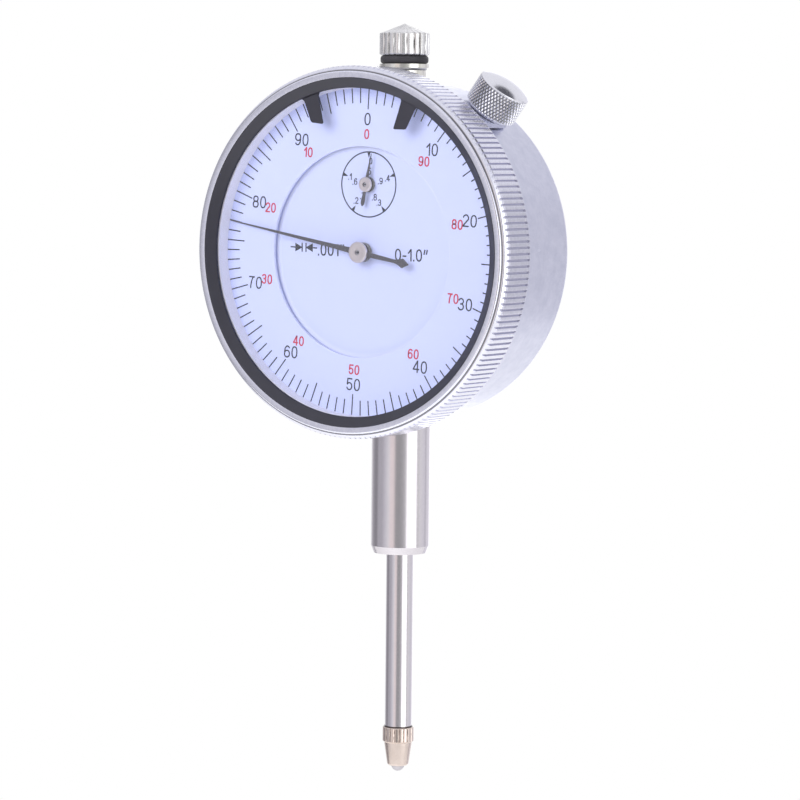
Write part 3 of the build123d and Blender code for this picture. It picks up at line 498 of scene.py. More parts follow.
# Looks by the record's material slots, from light and dark colours and most from two roughnesses.
LOOKS = {
    "case_plate": satin_plate("satin_chrome", (0.76, 0.77, 0.88), (0.67, 0.685, 0.80), 0.28, 0.42),
    "knurled_chrome": bright_metal("knurled_chrome", (0.92, 0.92, 0.93), (0.80, 0.80, 0.82), 0.12, 0.24),
    "ground_steel": ground_steel("ground_steel", (0.83, 0.79, 0.80), (0.66, 0.63, 0.67)),
    "spring_steel": cut_metal("spring_steel", (0.52, 0.52, 0.55), (0.40, 0.40, 0.43), SPINDLE),
    "contact_steel": bright_metal("contact_blank", (0.93, 0.87, 0.82), (0.85, 0.78, 0.72), 0.16, 0.28),
    "polished_ball": bright_metal("polished_ball", (0.62, 0.59, 0.61), (0.52, 0.50, 0.52), 0.06, 0.12),
    "bush_nickel": bright_metal("nickel_plate", (0.90, 0.89, 0.83), (0.80, 0.78, 0.70), 0.14, 0.26),
    "bush_bronze": cut_metal("reamed_bronze", (0.66, 0.50, 0.29), (0.55, 0.40, 0.21), DIAL),
    "movement_brass": cut_metal("rolled_brass", (0.80, 0.67, 0.39), (0.70, 0.56, 0.29), DIAL),
    "pinion_steel": cut_metal("cut_steel", (0.60, 0.60, 0.63), (0.48, 0.48, 0.51), DIAL),
    "screw_steel": cut_metal("machined_screw", (0.62, 0.63, 0.67), (0.50, 0.51, 0.54), DIAL),
    "dial_paint": dial_lacquer((0.575, 0.63, 0.96), (0.55, 0.605, 0.955), (0.72, 0.765, 0.985)),
    "spacer_white": lacquer("spacer_plastic", (0.88, 0.87, 0.95), (0.84, 0.83, 0.92), 0.35, 0.5),
    "hand_black": lacquer("hand_lacquer", (0.050, 0.046, 0.056), (0.032, 0.030, 0.038), 0.34, 0.5,
                          grain=1.5),
    "hub_champagne": turned_face("champagne_face", *CHAMPAGNE, DIAL, hole=0.44),
    "crystal_clear": clear_crystal("clear_acrylic"),
    "ring_black": lacquer("ring_plastic", *BLACK_PLASTIC),
    "rubber_black": rubber("bumper_rubber"),
}
# Painted shade: dark in a recess of the upper bush, just below its top.
LOOKS["bush_nickel"].grime(SPINDLE, (radius_of("upper_bush") - 0.35, radius_of("upper_bush") - 0.21),
                           (top_of("upper_bush") - 1.0, top_of("upper_bush") - 0.65), (0.10, 0.10, 0.09))

# Looks of single pieces, with painted shade in their grooves, slits, pits and joints.
BEZEL_LOOK = satin_plate("bezel_chrome", (0.92, 0.92, 0.99), (0.80, 0.81, 0.91), 0.10, 0.22,
                         grain=2.2, relief=0.003)
# Painted shade on the floors of the bezel's serrations.
BEZEL_LOOK.grime(DIAL, (RIM - 0.30, RIM - 0.06), (1.4, 7.4), (0.62, 0.62, 0.74))
# Painted shade and dark reflection on the steep wall of the cove behind the bezel's front.
BEZEL_LOOK.grime(DIAL, (RIM - 0.76, RIM - 0.62), (0.2, 0.58), (0.25, 0.245, 0.26))
RING_LOOK = lacquer("ring_face_plastic", *BLACK_PLASTIC)
# Painted shadow: near-black line along the black ring's inner edge.
RING_LOOK.grime(DIAL, (RING_INNER + 0.03, RING_INNER + 0.14), (0.9, 1.5), (0.004, 0.004, 0.014))
KNOB_LOOK = bright_metal("knob_chrome", (0.94, 0.94, 0.96), (0.86, 0.86, 0.90), 0.12, 0.24)
# Painted shade in the grooves of the knurl.
KNOB_LOOK.grime(LOCK, (KNOB_RIM - 0.23, KNOB_RIM - 0.12), (KNOB_BASE + 0.67, KNOB_EDGE - 0.1),
                (0.06, 0.06, 0.07))
CAP_LOOK = bright_metal("cap_chrome", (0.94, 0.94, 0.93), (0.80, 0.79, 0.77), 0.22, 0.38,
                        grain=5.5, height=0.014)
# Painted shade in the cap's slits.
CAP_LOOK.grime(SPINDLE, (radius_of("lifting_cap") - 0.3, radius_of("lifting_cap") - 0.14),
               (bottom_of("lifting_cap") + 0.1, top_of("lifting_cap") - 1.5), (0.16, 0.15, 0.13))
CONTACT_LOOK = bright_metal("contact_plate", (0.82, 0.71, 0.64), (0.70, 0.59, 0.52), 0.12, 0.24)
# Painted shade in the collar's slits and in the gap where the collar meets the spindle.
CONTACT_LOOK.grime(SPINDLE, (CONTACT_RIM - 0.16, CONTACT_RIM - 0.09),
                   (bottom_of("spindle") - 2.3, bottom_of("spindle") + 0.3), (0.10, 0.08, 0.07))
COLLAR_LOOK = cut_metal("collar_brass", (0.34, 0.30, 0.20), (0.16, 0.14, 0.10), DIAL,
                        smooth=0.14, rough=0.3, lines=3.0)
COUNTER_HUB_LOOK = turned_face("champagne_small_face", *CHAMPAGNE, COUNTER, hole=0.36)
BLACK_INK = printing_ink("black_ink", (0.016, 0.017, 0.026), (0.006, 0.007, 0.013))
RED_INK = printing_ink("red_ink", (0.60, 0.03, 0.07), (0.42, 0.018, 0.045))


def dress(made, look, body, slot, *nodes):
    """Gives a new piece its material and its body, and hides the nodes it stands for; its record slot is
    not used.
    """
    made.data.materials.append(look.material)
    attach(made, body)
    if nodes:
        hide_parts(*nodes)


def dress_cad_nodes():
    """Procedural materials for every node of the frame, by the record's material slots."""
    special = {"main_hub_collar": COLLAR_LOOK, "counter_hub_collar": COLLAR_LOOK}
    for part in frame["record"]["subparts"]:
        look = special.get(part["node"], LOOKS[part["material_slot"]])
        for slot in frame["nodes"][part["node"]].material_slots:
            slot.material = look.material


# ---- Bezel group --------------------------------------------------------------------------------
def bezel():
    """Rim with a bead, a scalloped shoulder and a serrated band."""
    serrations, depth = 192, 0.3
    front, back = front_of("bezel"), back_of("bezel")
    band_back = back - 0.15
    skirt = radius_of("crystal") + 0.12
    wire_front, wire_back, wire_seat = 5.95, 6.85, 27.95
    corners = [
        (RING_OUTER, RING_SEAT, 0), (RING_OUTER, front, 0.05), (RIM - 1.06, front, 0.14),
        (RIM - 0.88, front + 0.18, 0.08), (RIM - 0.84, front + 0.46, 0.05), (RIM - 0.52, front + 0.5, 0.12),
        (RIM - 0.26, front + 0.8, 0.12), (RIM - 0.08, front + 1.1, 0.12), (RIM, front + 1.5, 0.12),
        (RIM, band_back - 0.1, 0.08), (RIM - 0.1, band_back, 0.03), (RIM - 0.26, band_back, 0.05),
        (RIM - 0.26, back, 0.08), (skirt, back, 0.05), (skirt, wire_back, 0), (wire_seat, wire_back, 0),
        (wire_seat, wire_front, 0), (skirt, wire_front, 0), (RING_SEAT_RADIUS, wire_front, 0),
        (RING_SEAT_RADIUS, RING_SEAT, 0),
    ]
    outline = finer(rounded(corners, steps=3), 0.07, front + 0.5, front + 1.6)
    across = np.array([-0.42, -0.38, -0.31, -0.25, 0.25, 0.31, 0.38, 0.42])
    cut = np.array([1.0, 0.92, 0.08, 0.0, 0.0, 0.08, 0.92, 1.0])
    turns = (np.arange(serrations)[:, None] + across).ravel() / serrations
    floor = RIM - depth * np.tile(cut, serrations)
    grooved = outline[:, 1] < band_back - 0.05
    radius = np.where(grooved[:, None], np.minimum(outline[:, :1], floor), outline[:, :1])
    return turned("bezel_rim", DIAL, outline, radius, turns, closed_rows=True, sharp_angle=30)


def spacer_wall():
    """White ring from the crystal's front to the dial, round the crystal."""
    outer, front, back = radius_of("crystal") + 0.03, front_of("crystal"), RING_PLANE
    outline = rounded([(outer, front, 0), (outer, back, 0), (RING_INNER, back, 0),
                       (RING_INNER, front, 0.02)])
    return lathe("white_wall", DIAL, outline)


def crystal():
    """Clear disc inside the white wall, with a fine chamfer at both edges."""
    front, back = front_of("crystal"), back_of("crystal")
    rim, chamfer = RING_INNER - 0.01, 0.05
    outline = rounded([(0, front, 0), (rim - chamfer, front, 0), (rim, front + chamfer, 0),
                       (rim, back - chamfer, 0), (rim - chamfer, back, 0), (0, back, 0)], closed=False)
    return lathe("clear_crystal", DIAL, outline, closed_rows=False)


def crystal_ring():
    """Black ring whose face slopes in to the crystal."""
    inner_edge, back = 1.04, back_of("crystal_ring")
    outline = rounded([
        (RING_INNER, inner_edge, 0.07), (RING_OUTER - 0.12, 0.0, 0.06), (RING_OUTER, 0.0, 0.03),
        (RING_OUTER, RING_SEAT, 0), (RING_SEAT_RADIUS, RING_SEAT, 0), (RING_SEAT_RADIUS, back, 0),
        (RING_INNER, back, 0.04),
    ])
    return lathe("black_ring", DIAL, outline)


def marker_outline(side, turn):
    """Outline of a marker: a tab with a slanted end and a flared root, from radii and angles."""
    foot, neck, root_half, foot_half = 27.1, 26.25, 3.1, 6.3
    corners = [(foot, -foot_half, 0), (foot, foot_half, 0), (neck, foot_half, 0), (neck, root_half, 1.0),
               (22.1, 3.0, 0.35), (21.15, -2.7, 0.4), (neck, -root_half, 1.0), (neck, -foot_half, 0)]
    placed = []
    for radius, angle, reach in corners:
        placed.append((-radius * sin(radians(angle)), radius * cos(radians(angle)), reach))
    outline = rounded(placed, steps=6)
    if side == "right":
        outline = outline[::-1] * (-1, 1)
    return turn_clockwise(outline, turn)


def anticlockwise(outline):
    """The outline in anticlockwise order."""
    after = np.roll(outline, -1, axis=0)
    area = np.sum(outline[:, 0] * after[:, 1] - after[:, 0] * outline[:, 1])
    return outline if area > 0 else outline[::-1]


def tolerance_marker(side, turn):
    """Tolerance marker under the black ring, turned clockwise from the dial's top."""
    node = f"tolerance_marker_{side}"
    outline = anticlockwise(marker_outline(side, turn))
    made = plate(f"marker_{side}", outline, front_of(node), back_of(node), edge=0.04)
    dress(made, LOOKS["ring_black"], f"marker_{side}", "ring_black", node)


# ---- Hands and hubs -----------------------------------------------------------------------------
def hand(name, corners, turn, axis, node, body):
    """A flat hand from the corners of its right half, tip first, turned clockwise on its arbor."""
    mirrored = [(-x, y, reach) for x, y, reach in reversed(corners) if x]
    outline = rounded(corners + mirrored, steps=3)
    outline = anticlockwise(turn_clockwise(outline, turn, on_dial(axis)))
    made = plate(name, outline, front_of(node), back_of(node), edge=0.02)
    dress(made, LOOKS["hand_black"], body, "hand_black", node)


def main_hand():
    """Long hand, with a tail that ends in a small spade."""
    corners = [(0.08, 25.7, 0.03), (0.23, 13.5, 3), (0.36, 4.5, 2), (0.5, 1.2, 1), (0.36, -3.5, 1.5),
               (0.28, -6.9, 0.6), (0.4, -7.6, 0.3), (0.8, -8.45, 0.12), (0, -9.7, 0.1)]
    hand("long_hand", corners, MAIN_TURN, DIAL, "main_hand", "main_arbor")


def counter_hand():
    """Small hand of the counter."""
    corners = [(0.06, 5.05, 0.04), (0.2, 2.4, 0.5), (0.36, 0, 0.8), (0.24, -1.5, 0.6), (0.38, -2.7, 0.4),
               (0.3, -3.3, 0.2), (0, -3.6, 0.15)]
    hand("small_hand", corners, COUNTER_TURN, COUNTER, "counter_hand", "counter_arbor")


def hub(name, axis, node, look, body):
    """Faced hub cap: a bevelled rim, a shallow step, and a deep hole round the arbor's end."""
    radius, face, back = radius_of(node), front_of(node), back_of(node)
    hole, pin, bore = 0.27 * radius, 0.11 * radius, 0.72
    step, bevel, pin_end, bottom = 0.03, 0.17, 0.15, 0.36
    outline = rounded([
        (0, face + pin_end, 0), (pin, face + pin_end, 0.05), (pin + 0.02, face + bottom, 0.02),
        (hole - 0.02, face + bottom, 0.02), (hole, face + step, 0.04), (0.62 * radius, face + step, 0.03),
        (0.66 * radius, face, 0.03), (radius - bevel, face, 0.03), (radius, face + bevel, 0.03),
        (radius, back, 0.03), (bore, back, 0),
    ], closed=False)
    made = lathe(name, axis, outline, columns=96, closed_rows=False)
    dress(made, look, body, "hub_champagne", node)


# ---- Fluted and knurled pieces ------------------------------------------------------------------
def slit_depths(turns, heights, flutes, depth, width, rng):
    """Depth of uneven lengthwise slits at turns (0 to 1) and heights (0 to 1)."""
    total = np.zeros((len(heights), len(turns)))
    for index in range(flutes):
        place = (index + rng.uniform(-0.16, 0.16)) / flutes
        lean = rng.uniform(-0.05, 0.05) / flutes
        deepest = depth * rng.uniform(0.45, 1.0)
        amount = deepest * (1 + 0.25 * np.sin(2 * pi * (heights * 1.3 + rng.random())))
        away = (turns[None, :] - place - lean * heights[:, None] + 0.5) % 1 - 0.5
        total = np.maximum(total, amount[:, None] * np.exp(-(away * flutes / width) ** 2))
    return np.clip(total, 0, depth)


def fluted(name, axis, corners, flutes, depth, width, low, high, run_out):
    """A turned piece from an open outline, with uneven slits between two heights on its axis."""
    per_flute = 14
    rng = np.random.default_rng(SEED + flutes)
    outline = finer(rounded(corners, closed=False), 0.16, low - 0.3, high + 0.3)
    turns = np.arange(flutes * per_flute) / (flutes * per_flute)
    share = np.clip((outline[:, 1] - low) / (high - low), 0, 1)
    cut = slit_depths(turns, share, flutes, depth, width, rng)
    inside = np.clip((outline[:, 1] - low) / run_out + 1, 0, 1)
    inside *= np.clip((high - outline[:, 1]) / run_out + 1, 0, 1)
    rim = outline[:, 0].max()
    outer = np.clip((outline[:, 0] - (rim - 1.2)) / 0.6, 0, 1)
    radius = outline[:, :1] - cut * (inside * outer)[:, None]
    return turned(name, axis, outline, radius, turns, closed_rows=False, sharp_angle=40)


def lifting_cap():
    """Fluted cap with a low cone on top."""
    rim, base, apex = radius_of("lifting_cap"), bottom_of("lifting_cap"), top_of("lifting_cap")
    edge = apex - 1.5
    corners = [(0, base, 0), (rim - 0.25, base, 0.05), (rim, base + 0.2, 0.08), (rim, edge - 0.05, 0.1),
               (rim - 0.25, edge, 0.1), (0.0, apex, 0)]
    made = fluted("fluted_cap", SPINDLE, corners, flutes=22, depth=0.34, width=0.14,
                  low=base, high=edge, run_out=0.35)
    dress(made, CAP_LOOK, "spindle", "knurled_chrome", "lifting_cap")


def contact_point():
    """Contact with a fluted collar, a smooth taper and the seat of its ball."""
    rim, joint = CONTACT_RIM, bottom_of("spindle")
    collar_end, taper_end, ball_seat = joint - 2.41, bottom_of("contact_ball") + 0.99, 1.0
    corners = [
        (0, joint + 0.26, 0), (2.3, joint + 0.26, 0), (2.32, joint + 0.08, 0.02),
        (rim - 0.08, joint + 0.06, 0.04), (rim, joint - 0.08, 0.06), (rim, collar_end + 0.12, 0.06),
        (2.34, collar_end, 0.06), (2.3, collar_end - 0.06, 0.03), (2.29, collar_end - 0.12, 0.02),
        (1.76, taper_end + 0.25, 0.1), (1.5, taper_end, 0.12), (ball_seat, taper_end, 0.03),
        (0.9, taper_end + 0.3, 0), (0, taper_end + 0.3, 0),
    ]
    made = fluted("contact_tip", SPINDLE, corners, flutes=20, depth=0.14, width=0.1,
                  low=collar_end + 0.1, high=joint, run_out=0.06)
    dress(made, CONTACT_LOOK, "spindle", "contact_steel", "contact_point")


def knurl(turns, rise):
    """Height of a diamond knurl, 0 in its grooves and 1 on its peaks; both arguments in pitches."""
    left = 1 - np.abs(2 * ((turns + rise) % 1) - 1)
    right = 1 - np.abs(2 * ((turns - rise) % 1) - 1)
    return np.minimum(left, right)


def lock_knob():
    """Domed knob with a diamond knurl."""
    knurls, pitch, depth, per_pitch = 46, 1.02, 0.24, 10
    rim, base, edge, crest = KNOB_RIM, KNOB_BASE, KNOB_EDGE, 34.5
    chamfer, land = 0.6, 0.12
    dome_root = rim - 0.28
    rise = crest - edge - land
    dome_radius = (dome_root ** 2 + rise ** 2) / (2 * rise)
    dome = [(r, crest - dome_radius + sqrt(dome_radius ** 2 - r ** 2), 0)
            for r in np.linspace(dome_root - 0.05, 0, 14)]
    corners = [(0, base, 0), (rim - chamfer - 0.15, base, 0.08), (rim, base + chamfer, 0.08),
               (rim, edge - 0.1, 0.05), (rim - 0.2, edge + 0.02, 0.05), (dome_root, edge + land, 0.05)]
    smooth = rounded(corners + dome, closed=False)
    outline = finer(smooth, pitch / per_pitch, base + chamfer - 0.1, edge)
    turns = np.arange(knurls * per_pitch) / per_pitch
    peaks = knurl(turns[None, :], (outline[:, 1:] - base) / pitch)
    band = np.clip((outline[:, 1] - base - 0.2) / 0.15, 0, 1)
    band *= np.clip((edge - 0.05 - outline[:, 1]) / 0.12, 0, 1)
    radius = outline[:, :1] - depth * (1 - peaks) * band[:, None]
    made = turned("knurled_knob", LOCK, outline, radius, turns / knurls, closed_rows=False, sharp_angle=50)
    dress(made, KNOB_LOOK, "lock_knob", "knurled_chrome", "lock_knob")


# ---- Printing -----------------------------------------------------------------------------------
def arc(x, y, across, up, start, end, steps=16):
    """Points of an elliptical arc, with its angles in degrees anticlockwise from the right."""
    angles = np.radians(np.linspace(start, end, steps))
    return np.column_stack([x + across * np.cos(angles), y + up * np.sin(angles)])


def oval(x, y, across, up, steps=32):
    """Points of a closed oval with slightly flattened sides."""
    angles = np.linspace(0, 2 * pi, steps, endpoint=False)
    power = 0.86
    round_x = np.sign(np.cos(angles)) * np.abs(np.cos(angles)) ** power
    round_y = np.sign(np.sin(angles)) * np.abs(np.sin(angles)) ** power
    return np.column_stack([x + across * round_x, y + up * round_y])


# Each character: its width as a share of its height, and its strokes, drawn on the strokes' centre
# lines from -1 to 1 across and from 0 to 1 up. A stroke is (points, closed).
SIX = [(oval(0, 0.3, 1, 0.3), True), (arc(0.1, 0.53, 1.1, 0.47, 48, 188), False)]
GLYPHS = {
    "0": (0.59, [(oval(0, 0.5, 1, 0.5), True)]),
    "1": (0.36, [([(-1.0, 0.70), (0.75, 0.98)], False), ([(1.0, 1.0), (1.0, 0.0)], False)]),
    "2": (0.58, [(np.vstack([arc(0, 0.73, 1, 0.27, 165, -30), [(-0.85, 0.08)]]), False),
                 ([(-0.95, 0.0), (1.0, 0.0)], False)]),
    "3": (0.58, [(arc(-0.05, 0.76, 0.92, 0.24, 155, -90), False),
                 (arc(-0.05, 0.27, 1.02, 0.27, 90, -155), False)]),
    "4": (0.60, [([(0.35, 0.98), (-1.0, 0.3)], False), ([(-1.0, 0.26), (1.05, 0.26)], False),
                 ([(0.5, 1.0), (0.5, 0.0)], False)]),
    "5": (0.58, [([(-0.7, 1.0), (0.85, 1.0)], False), ([(-0.75, 0.95), (-0.92, 0.52)], False),
                 (arc(-0.03, 0.32, 1.02, 0.32, 142, -155), False)]),
    "6": (0.59, SIX),
    "7": (0.57, [([(-1.0, 1.0), (1.0, 1.0)], False), (arc(1.6, 0.0, 1.95, 1.15, 122, 180), False)]),
    "8": (0.59, [(oval(0, 0.76, 0.86, 0.24), True), (oval(0, 0.27, 1, 0.27), True)]),
    "9": (0.59, [((0.0, 1.0) - points, closed) for points, closed in SIX]),
    ".": (0.15, [([(0.0, 0.0), (0.0, 0.03)], False)]),
    "-": (0.40, [([(-0.85, 0.4), (0.85, 0.4)], False)]),
    '"': (0.44, [([(-1.0, 0.66), (-0.55, 0.98)], False), ([(0.45, 0.66), (0.9, 0.98)], False)]),
}


class Print:
    """Ink on a dial: thin raised strokes and patches, collected and made as one piece."""

    def __init__(self, plane):
        self.plane = plane
        self.points = []
        self.faces = []

    def front(self):
        """Depth of the next shape's face, stepped a little so that crossing strokes don't coincide."""
        ink, step, steps = 0.018, 0.002, 4
        return self.plane - ink - step * (len(self.faces) % steps)

    def add(self, left, right, closed):
        """A strip between two lines of points."""
        sunk = 0.002
        count, first = len(left), len(self.points)
        front, back = self.front(), self.plane + sunk
        for line, depth in ((left, front), (right, front), (right, back), (left, back)):
            self.points += at_depth(line, depth).tolist()
        for index in range(count if closed else count - 1):
            after = (index + 1) % count
            for side in range(4):
                this, other = first + side * count, first + (side + 1) % 4 * count
                self.faces.append([this + index, this + after, other + after, other + index])
        if not closed:
            for index in (0, count - 1):
                self.faces.append([first + side * count + index for side in range(4)])

    def stroke(self, line, width, closed=False, square=True):
        """A stroke of a width along a line, reaching half a width past open ends if square."""
        line = np.array(line, float)
        if closed:
            ahead = np.roll(line, -1, axis=0) - np.roll(line, 1, axis=0)
        else:
            ahead = np.gradient(line, axis=0)
        ahead /= np.linalg.norm(ahead, axis=1)[:, None]
        if square and not closed:
            line[0] -= ahead[0] * width / 2
            line[-1] += ahead[-1] * width / 2
        side = np.column_stack([-ahead[:, 1], ahead[:, 0]]) * width / 2
        self.add(line + side, line - side, closed)

    def text(self, words, centre, height, weight, turn=0.0, gap=0.1):
        """Upright text centred on a point, then turned clockwise about the dial's axis."""
        widths = [GLYPHS[character][0] for character in words]
        left = -(sum(widths) + gap * (len(words) - 1)) / 2
        for character, width in zip(words, widths):
            half = max(width - weight, 0.02) / 2
            for points, closed in GLYPHS[character][1]:
                points = np.array(points, float)
                x = left + width / 2 + points[:, 0] * half
                y = weight / 2 + points[:, 1] * (1 - weight) - 0.5
                placed = np.column_stack([x, y]) * height + np.array(centre)
                self.stroke(turn_clockwise(placed, turn), weight * height, closed)
            left += width + gap

    def made(self, name, look, body):
        """Makes the collected ink one piece on a body."""
        dress(mesh_of(name, self.points, self.faces), look, body, "dial_paint")


def around_dial(radius, angle, centre=(0, 0)):
    """Point at a radius and an angle clockwise from the top."""
    return (centre[0] + radius * sin(radians(angle)), centre[1] + radius * cos(radians(angle)))


def ring_print():
    """Scale of 100 divisions with black numbers clockwise and red numbers the other way."""
    divisions, numbered, long_every = 100, 10, 5
    outer, inner, inner_long, line = 26.18, 23.8, 22.85, 0.2
    black_radius, black_height, black_weight, black_gap = 21.3, 2.0, 0.115, 0.14
    red_radius, red_height, red_weight = 18.9, 1.63, 0.15
    black, red = Print(RING_PLANE), Print(RING_PLANE)
    for index in range(divisions):
        angle = 360 * index / divisions + RING_TURN
        end = inner if index % long_every else inner_long
        black.stroke([around_dial(outer, angle), around_dial(end, angle)], line, square=False)
    for index in range(numbered):
        angle = 360 * index / numbered
        value = index * divisions // numbered
        place = around_dial(black_radius, angle)
        black.text(str(value), place, black_height, black_weight, RING_TURN, black_gap)
        other = (divisions - value) % divisions
        red.text(str(other), around_dial(red_radius, angle), red_height, red_weight, RING_TURN)
    black.made("ring_scale", BLACK_INK, "bezel")
    red.made("ring_reverse_numbers", RED_INK, "bezel")


def counter_scale(ink):
    """Small five-part scale with two rows of numbers."""
    centre = on_dial(COUNTER)
    radius, line, height, weight = 5.2, 0.21, 1.08, 0.15
    circle = [around_dial(radius, angle, centre) for angle in np.linspace(0, 360, 96, endpoint=False)]
    ink.stroke(circle, line, closed=True)
    base, tip, base_half, tip_half = radius - 0.05, radius - 0.95, 3.4, 0.4
    for angle in range(0, 360, 72):
        sides = [[around_dial(base, angle + way * base_half, centre),
                  around_dial(tip, angle + way * tip_half, centre)] for way in (-1, 1)]
        ink.add(*sides, closed=False)
    labels = {"0": (0.35, 3.75), ".1": (-3.62, 1.2), ".2": (-2.42, -2.61), ".3": (1.97, -2.86),
              ".4": (3.57, 1.05), ".5": (0.0, 2.1), ".6": (-2.66, 0.43), ".7": (-1.2, -1.85),
              ".8": (1.12, -2.02), ".9": (2.22, 0.58)}
    for words, (x, y) in labels.items():
        ink.text(words, (centre[0] + x, centre[1] + y), height, weight, gap=0.12)


def centre_print():
    """Counter scale, range and the value of one division, with its mark."""
    ink = Print(CENTRE_PLANE)
    height, weight, line = 1.97, 0.125, 0.22
    ink.text('0-1.0"', (9.06, -0.25), height, weight, gap=0.13)
    ink.text('.001"', (-6.42, 0.2), height, weight, gap=0.12)
    left, right, bars, level, drop = -14.35, -9.15, (-12.08, -11.32), 0.52, 0.02
    bar_half, head, head_half, tip_half = 0.72, 1.22, 0.7, 0.04
    for bar, end, ahead in ((bars[0], left, -1), (bars[1], right, 1)):
        y = level - drop * (bar - left)
        ink.stroke([(bar, y - bar_half), (bar, y + bar_half)], line, square=False)
        ink.stroke([(bar + ahead * head, y), (end, y - drop * (end - bar))], line, square=False)
        foot = bar + ahead * (head + line / 2)
        ink.add([(foot, y + head_half), (bar, y + tip_half)],
                [(foot, y - head_half), (bar, y - tip_half)], closed=False)
    counter_scale(ink)
    ink.made("centre_print", BLACK_INK, "root")


# ---- Studio -------------------------------------------------------------------------------------
VIEW_AZIMUTH, VIEW_ELEVATION, VIEW_ROLL = 33.176, 4.38, 0.542   # degrees
VIEW_TARGET = DIAL_CENTRE + Vector((8.36, 3.34, -23.23)) * MM
VIEW_DISTANCE = 0.563154        # metres
VIEW_LENS, VIEW_SENSOR = 159.37, 36.0


def camera():
    """Camera to the right of and a little above the dial, which it sees at an angle."""
    azimuth, elevation, roll = (radians(angle) for angle in (VIEW_AZIMUTH, VIEW_ELEVATION, VIEW_ROLL))
    right = Vector((cos(azimuth), sin(azimuth), 0))
    back = Vector((sin(azimuth) * cos(elevation), -cos(azimuth) * cos(elevation), sin(elevation)))
    up = back.cross(right)
    rolled_right = right * cos(roll) + up * sin(roll)
    rolled_up = up * cos(roll) - right * sin(roll)
    rotation = Matrix((rolled_right, rolled_up, back)).transposed()
    data = bpy.data.cameras.new("camera")
    data.lens, data.sensor_width = VIEW_LENS, VIEW_SENSOR
    data.clip_start, data.clip_end = 0.01, 100
    made = bpy.data.objects.new("camera", data)
    made.matrix_world = Matrix.Translation(VIEW_TARGET + back * VIEW_DISTANCE) @ rotation.to_4x4()
    bpy.context.collection.objects.link(made)
    bpy.context.scene.camera = made


# Soft panels round the object, mixed into each other: (angle to the right of the viewer's side,
# brightness, tint).
WHITE, NEUTRAL, WARM, COOL = (1.0, 1.0, 1.0), (1.0, 1.0, 1.03), (1.0, 0.90, 0.90), (0.97, 0.96, 1.05)
PANELS = [
    (-180, 0.95, NEUTRAL), (-160, 0.95, NEUTRAL), (-140, 0.50, COOL), (-120, 0.32, COOL),
    (-106, 0.30, COOL), (-98, 0.52, COOL), (-78, 0.50, COOL), (-60, 0.73, COOL), (-46, 0.88, NEUTRAL),
    (-40, 0.95, WARM), (-26, 0.92, WARM), (-19, 0.38, NEUTRAL), (-2, 0.38, NEUTRAL), (8, 0.45, NEUTRAL),
    (22, 0.62, NEUTRAL), (29, 1.9, NEUTRAL), (64, 1.9, NEUTRAL), (69, 0.62, NEUTRAL), (76, 0.64, NEUTRAL),
    (80, 0.84, NEUTRAL), (108, 0.80, COOL), (114, 0.56, COOL), (120, 0.56, COOL), (127, 0.86, COOL),
    (150, 0.84, COOL), (180, 2.0, WHITE),
]
PANEL_PEAK = 2.0
MATT_SHARE = 0.45               # share of that brightness that lights matt surfaces
CEILING = (0.40, 0.40, 0.43)
CEILING_EDGES = (0.2, 0.6)      # upward parts of the directions where it begins and is full
GAP = Vector((0.50, 0.36, 0.79)).normalized()       # direction of a dark patch in the ceiling
GAP_EDGES = (0.945, 0.965)      # cosines of the angles from it where the patch begins and is full
GAP_COLOUR = (0.05, 0.05, 0.06)


def panel_colours(sky, angle):
    """Colour of the panels at an angle in radians."""
    node = sky.add("ShaderNodeValToRGB", _0=sky.vary(angle, 0, 1, -pi, pi))
    stops = node.color_ramp.elements
    for degrees, _, _ in PANELS[1:-1]:
        stops.new((degrees + 180) / 360)
    for stop, (_, brightness, tint) in zip(stops, PANELS):
        stop.color = (*(brightness / PANEL_PEAK * part for part in tint), 1)
    return node.outputs[0]


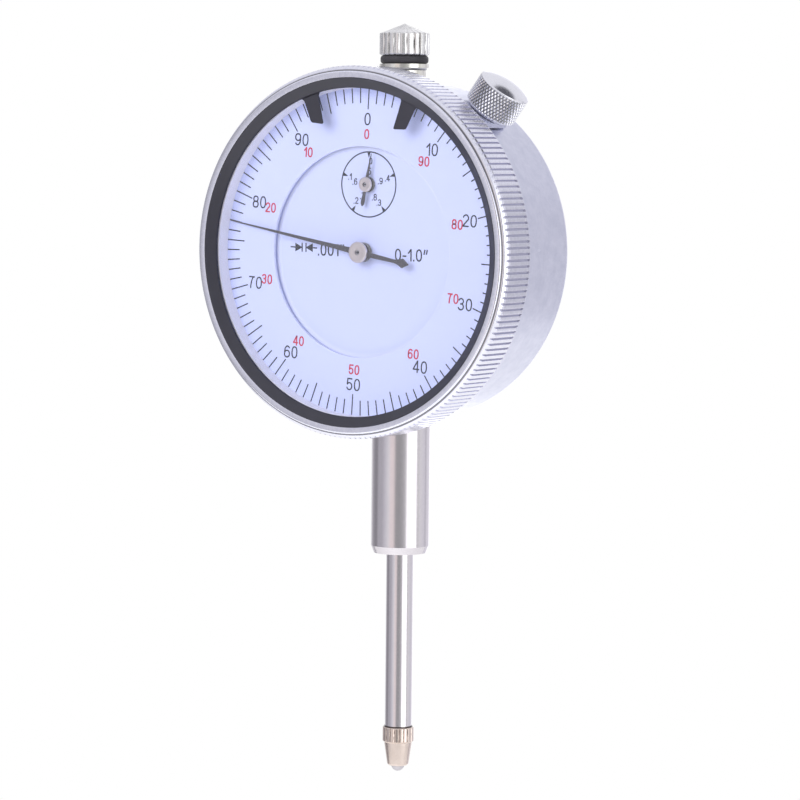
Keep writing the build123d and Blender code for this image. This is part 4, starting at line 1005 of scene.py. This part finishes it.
def studio():
    """White to the camera; soft light and dark panels all round for the light and the reflections."""
    world = bpy.data.worlds.new("studio")
    world.use_nodes = True
    world.node_tree.nodes.clear()
    bpy.context.scene.world = world
    sky = Nodes(world.node_tree)
    azimuth = radians(VIEW_AZIMUTH)
    direction = sky.add("ShaderNodeTexCoord").outputs["Generated"]
    rightwards = sky.dot(direction, (cos(azimuth), sin(azimuth), 0))
    forwards = sky.dot(direction, (sin(azimuth), -cos(azimuth), 0))
    panels = panel_colours(sky, sky.maths("ARCTAN2", rightwards, forwards))
    height = sky.add("ShaderNodeSeparateXYZ", _0=direction).outputs["Z"]
    ceiling = sky.blend(sky.vary(height, 0, 1, *CEILING_EDGES), panels, CEILING)
    in_gap = sky.vary(sky.dot(direction, GAP), 0, 1, *GAP_EDGES)
    rays = sky.add("ShaderNodeLightPath").outputs
    strength = sky.vary(rays["Is Diffuse Ray"], PANEL_PEAK, PANEL_PEAK * MATT_SHARE, 0, 1)
    soft = sky.add("ShaderNodeBackground", Color=sky.blend(in_gap, ceiling, GAP_COLOUR), Strength=strength)
    seen = sky.add("ShaderNodeBackground", Color=(1, 1, 1, 1))
    mixed = sky.add("ShaderNodeMixShader", _0=rays["Is Camera Ray"], _1=soft.outputs[0], _2=seen.outputs[0])
    sky.add("ShaderNodeOutputWorld", _0=mixed.outputs[0])


def soft_lamp(name, place, size, power):
    """A square lamp, metres from the dial, that faces it and isn't mirrored in the metal."""
    data = bpy.data.lights.new(name, "AREA")
    data.size, data.energy = size, power
    made = bpy.data.objects.new(name, data)
    made.location = DIAL_CENTRE + Vector(place)
    made.rotation_euler = (-Vector(place)).to_track_quat("-Z", "Y").to_euler()
    made.visible_glossy = False
    bpy.context.collection.objects.link(made)


def floor():
    """Pale floor, well below the object, with a glow that keeps it nearly white."""
    drop, reach, sides, glow = 0.5, 1.2, 96, 0.62
    level = cad_box[0].z - drop
    points = [(reach * cos(2 * pi * side / sides), reach * sin(2 * pi * side / sides), level)
              for side in range(sides)]
    made = mesh_of("floor", points, [list(range(sides))])
    pale = lacquer("floor_paper", (0.86, 0.86, 0.87), (0.82, 0.82, 0.83), 0.7, 0.8, grain=0.01, height=0.02)
    pale.shader.inputs["Emission Color"].default_value = (1, 1, 1, 1)
    pale.shader.inputs["Emission Strength"].default_value = glow
    made.data.materials.append(pale.material)


# ---- Making -------------------------------------------------------------------------------------
camera()
studio()
soft_lamp("key", (-0.17, -0.63, 0.26), size=0.44, power=3.5)
soft_lamp("fill", (0.30, -0.62, 0.05), size=0.60, power=1.4)
floor()
dress_cad_nodes()
dress(bezel(), BEZEL_LOOK, "bezel", "case_plate", "bezel")
dress(spacer_wall(), LOOKS["spacer_white"], "bezel", "spacer_white", "dial_spacer")
dress(crystal(), LOOKS["crystal_clear"], "bezel", "crystal_clear", "crystal")
dress(crystal_ring(), RING_LOOK, "bezel", "ring_black", "crystal_ring")
tolerance_marker("left", -17.9)
tolerance_marker("right", 24.3)
main_hand()
counter_hand()
hub("main_hub_cap", DIAL, "main_hub", LOOKS["hub_champagne"], "main_arbor")
hub("counter_hub_cap", COUNTER, "counter_hub", COUNTER_HUB_LOOK, "counter_arbor")
lifting_cap()
contact_point()
lock_knob()
ring_print()
centre_print()
bpy.context.scene.view_settings.view_transform = "Standard"
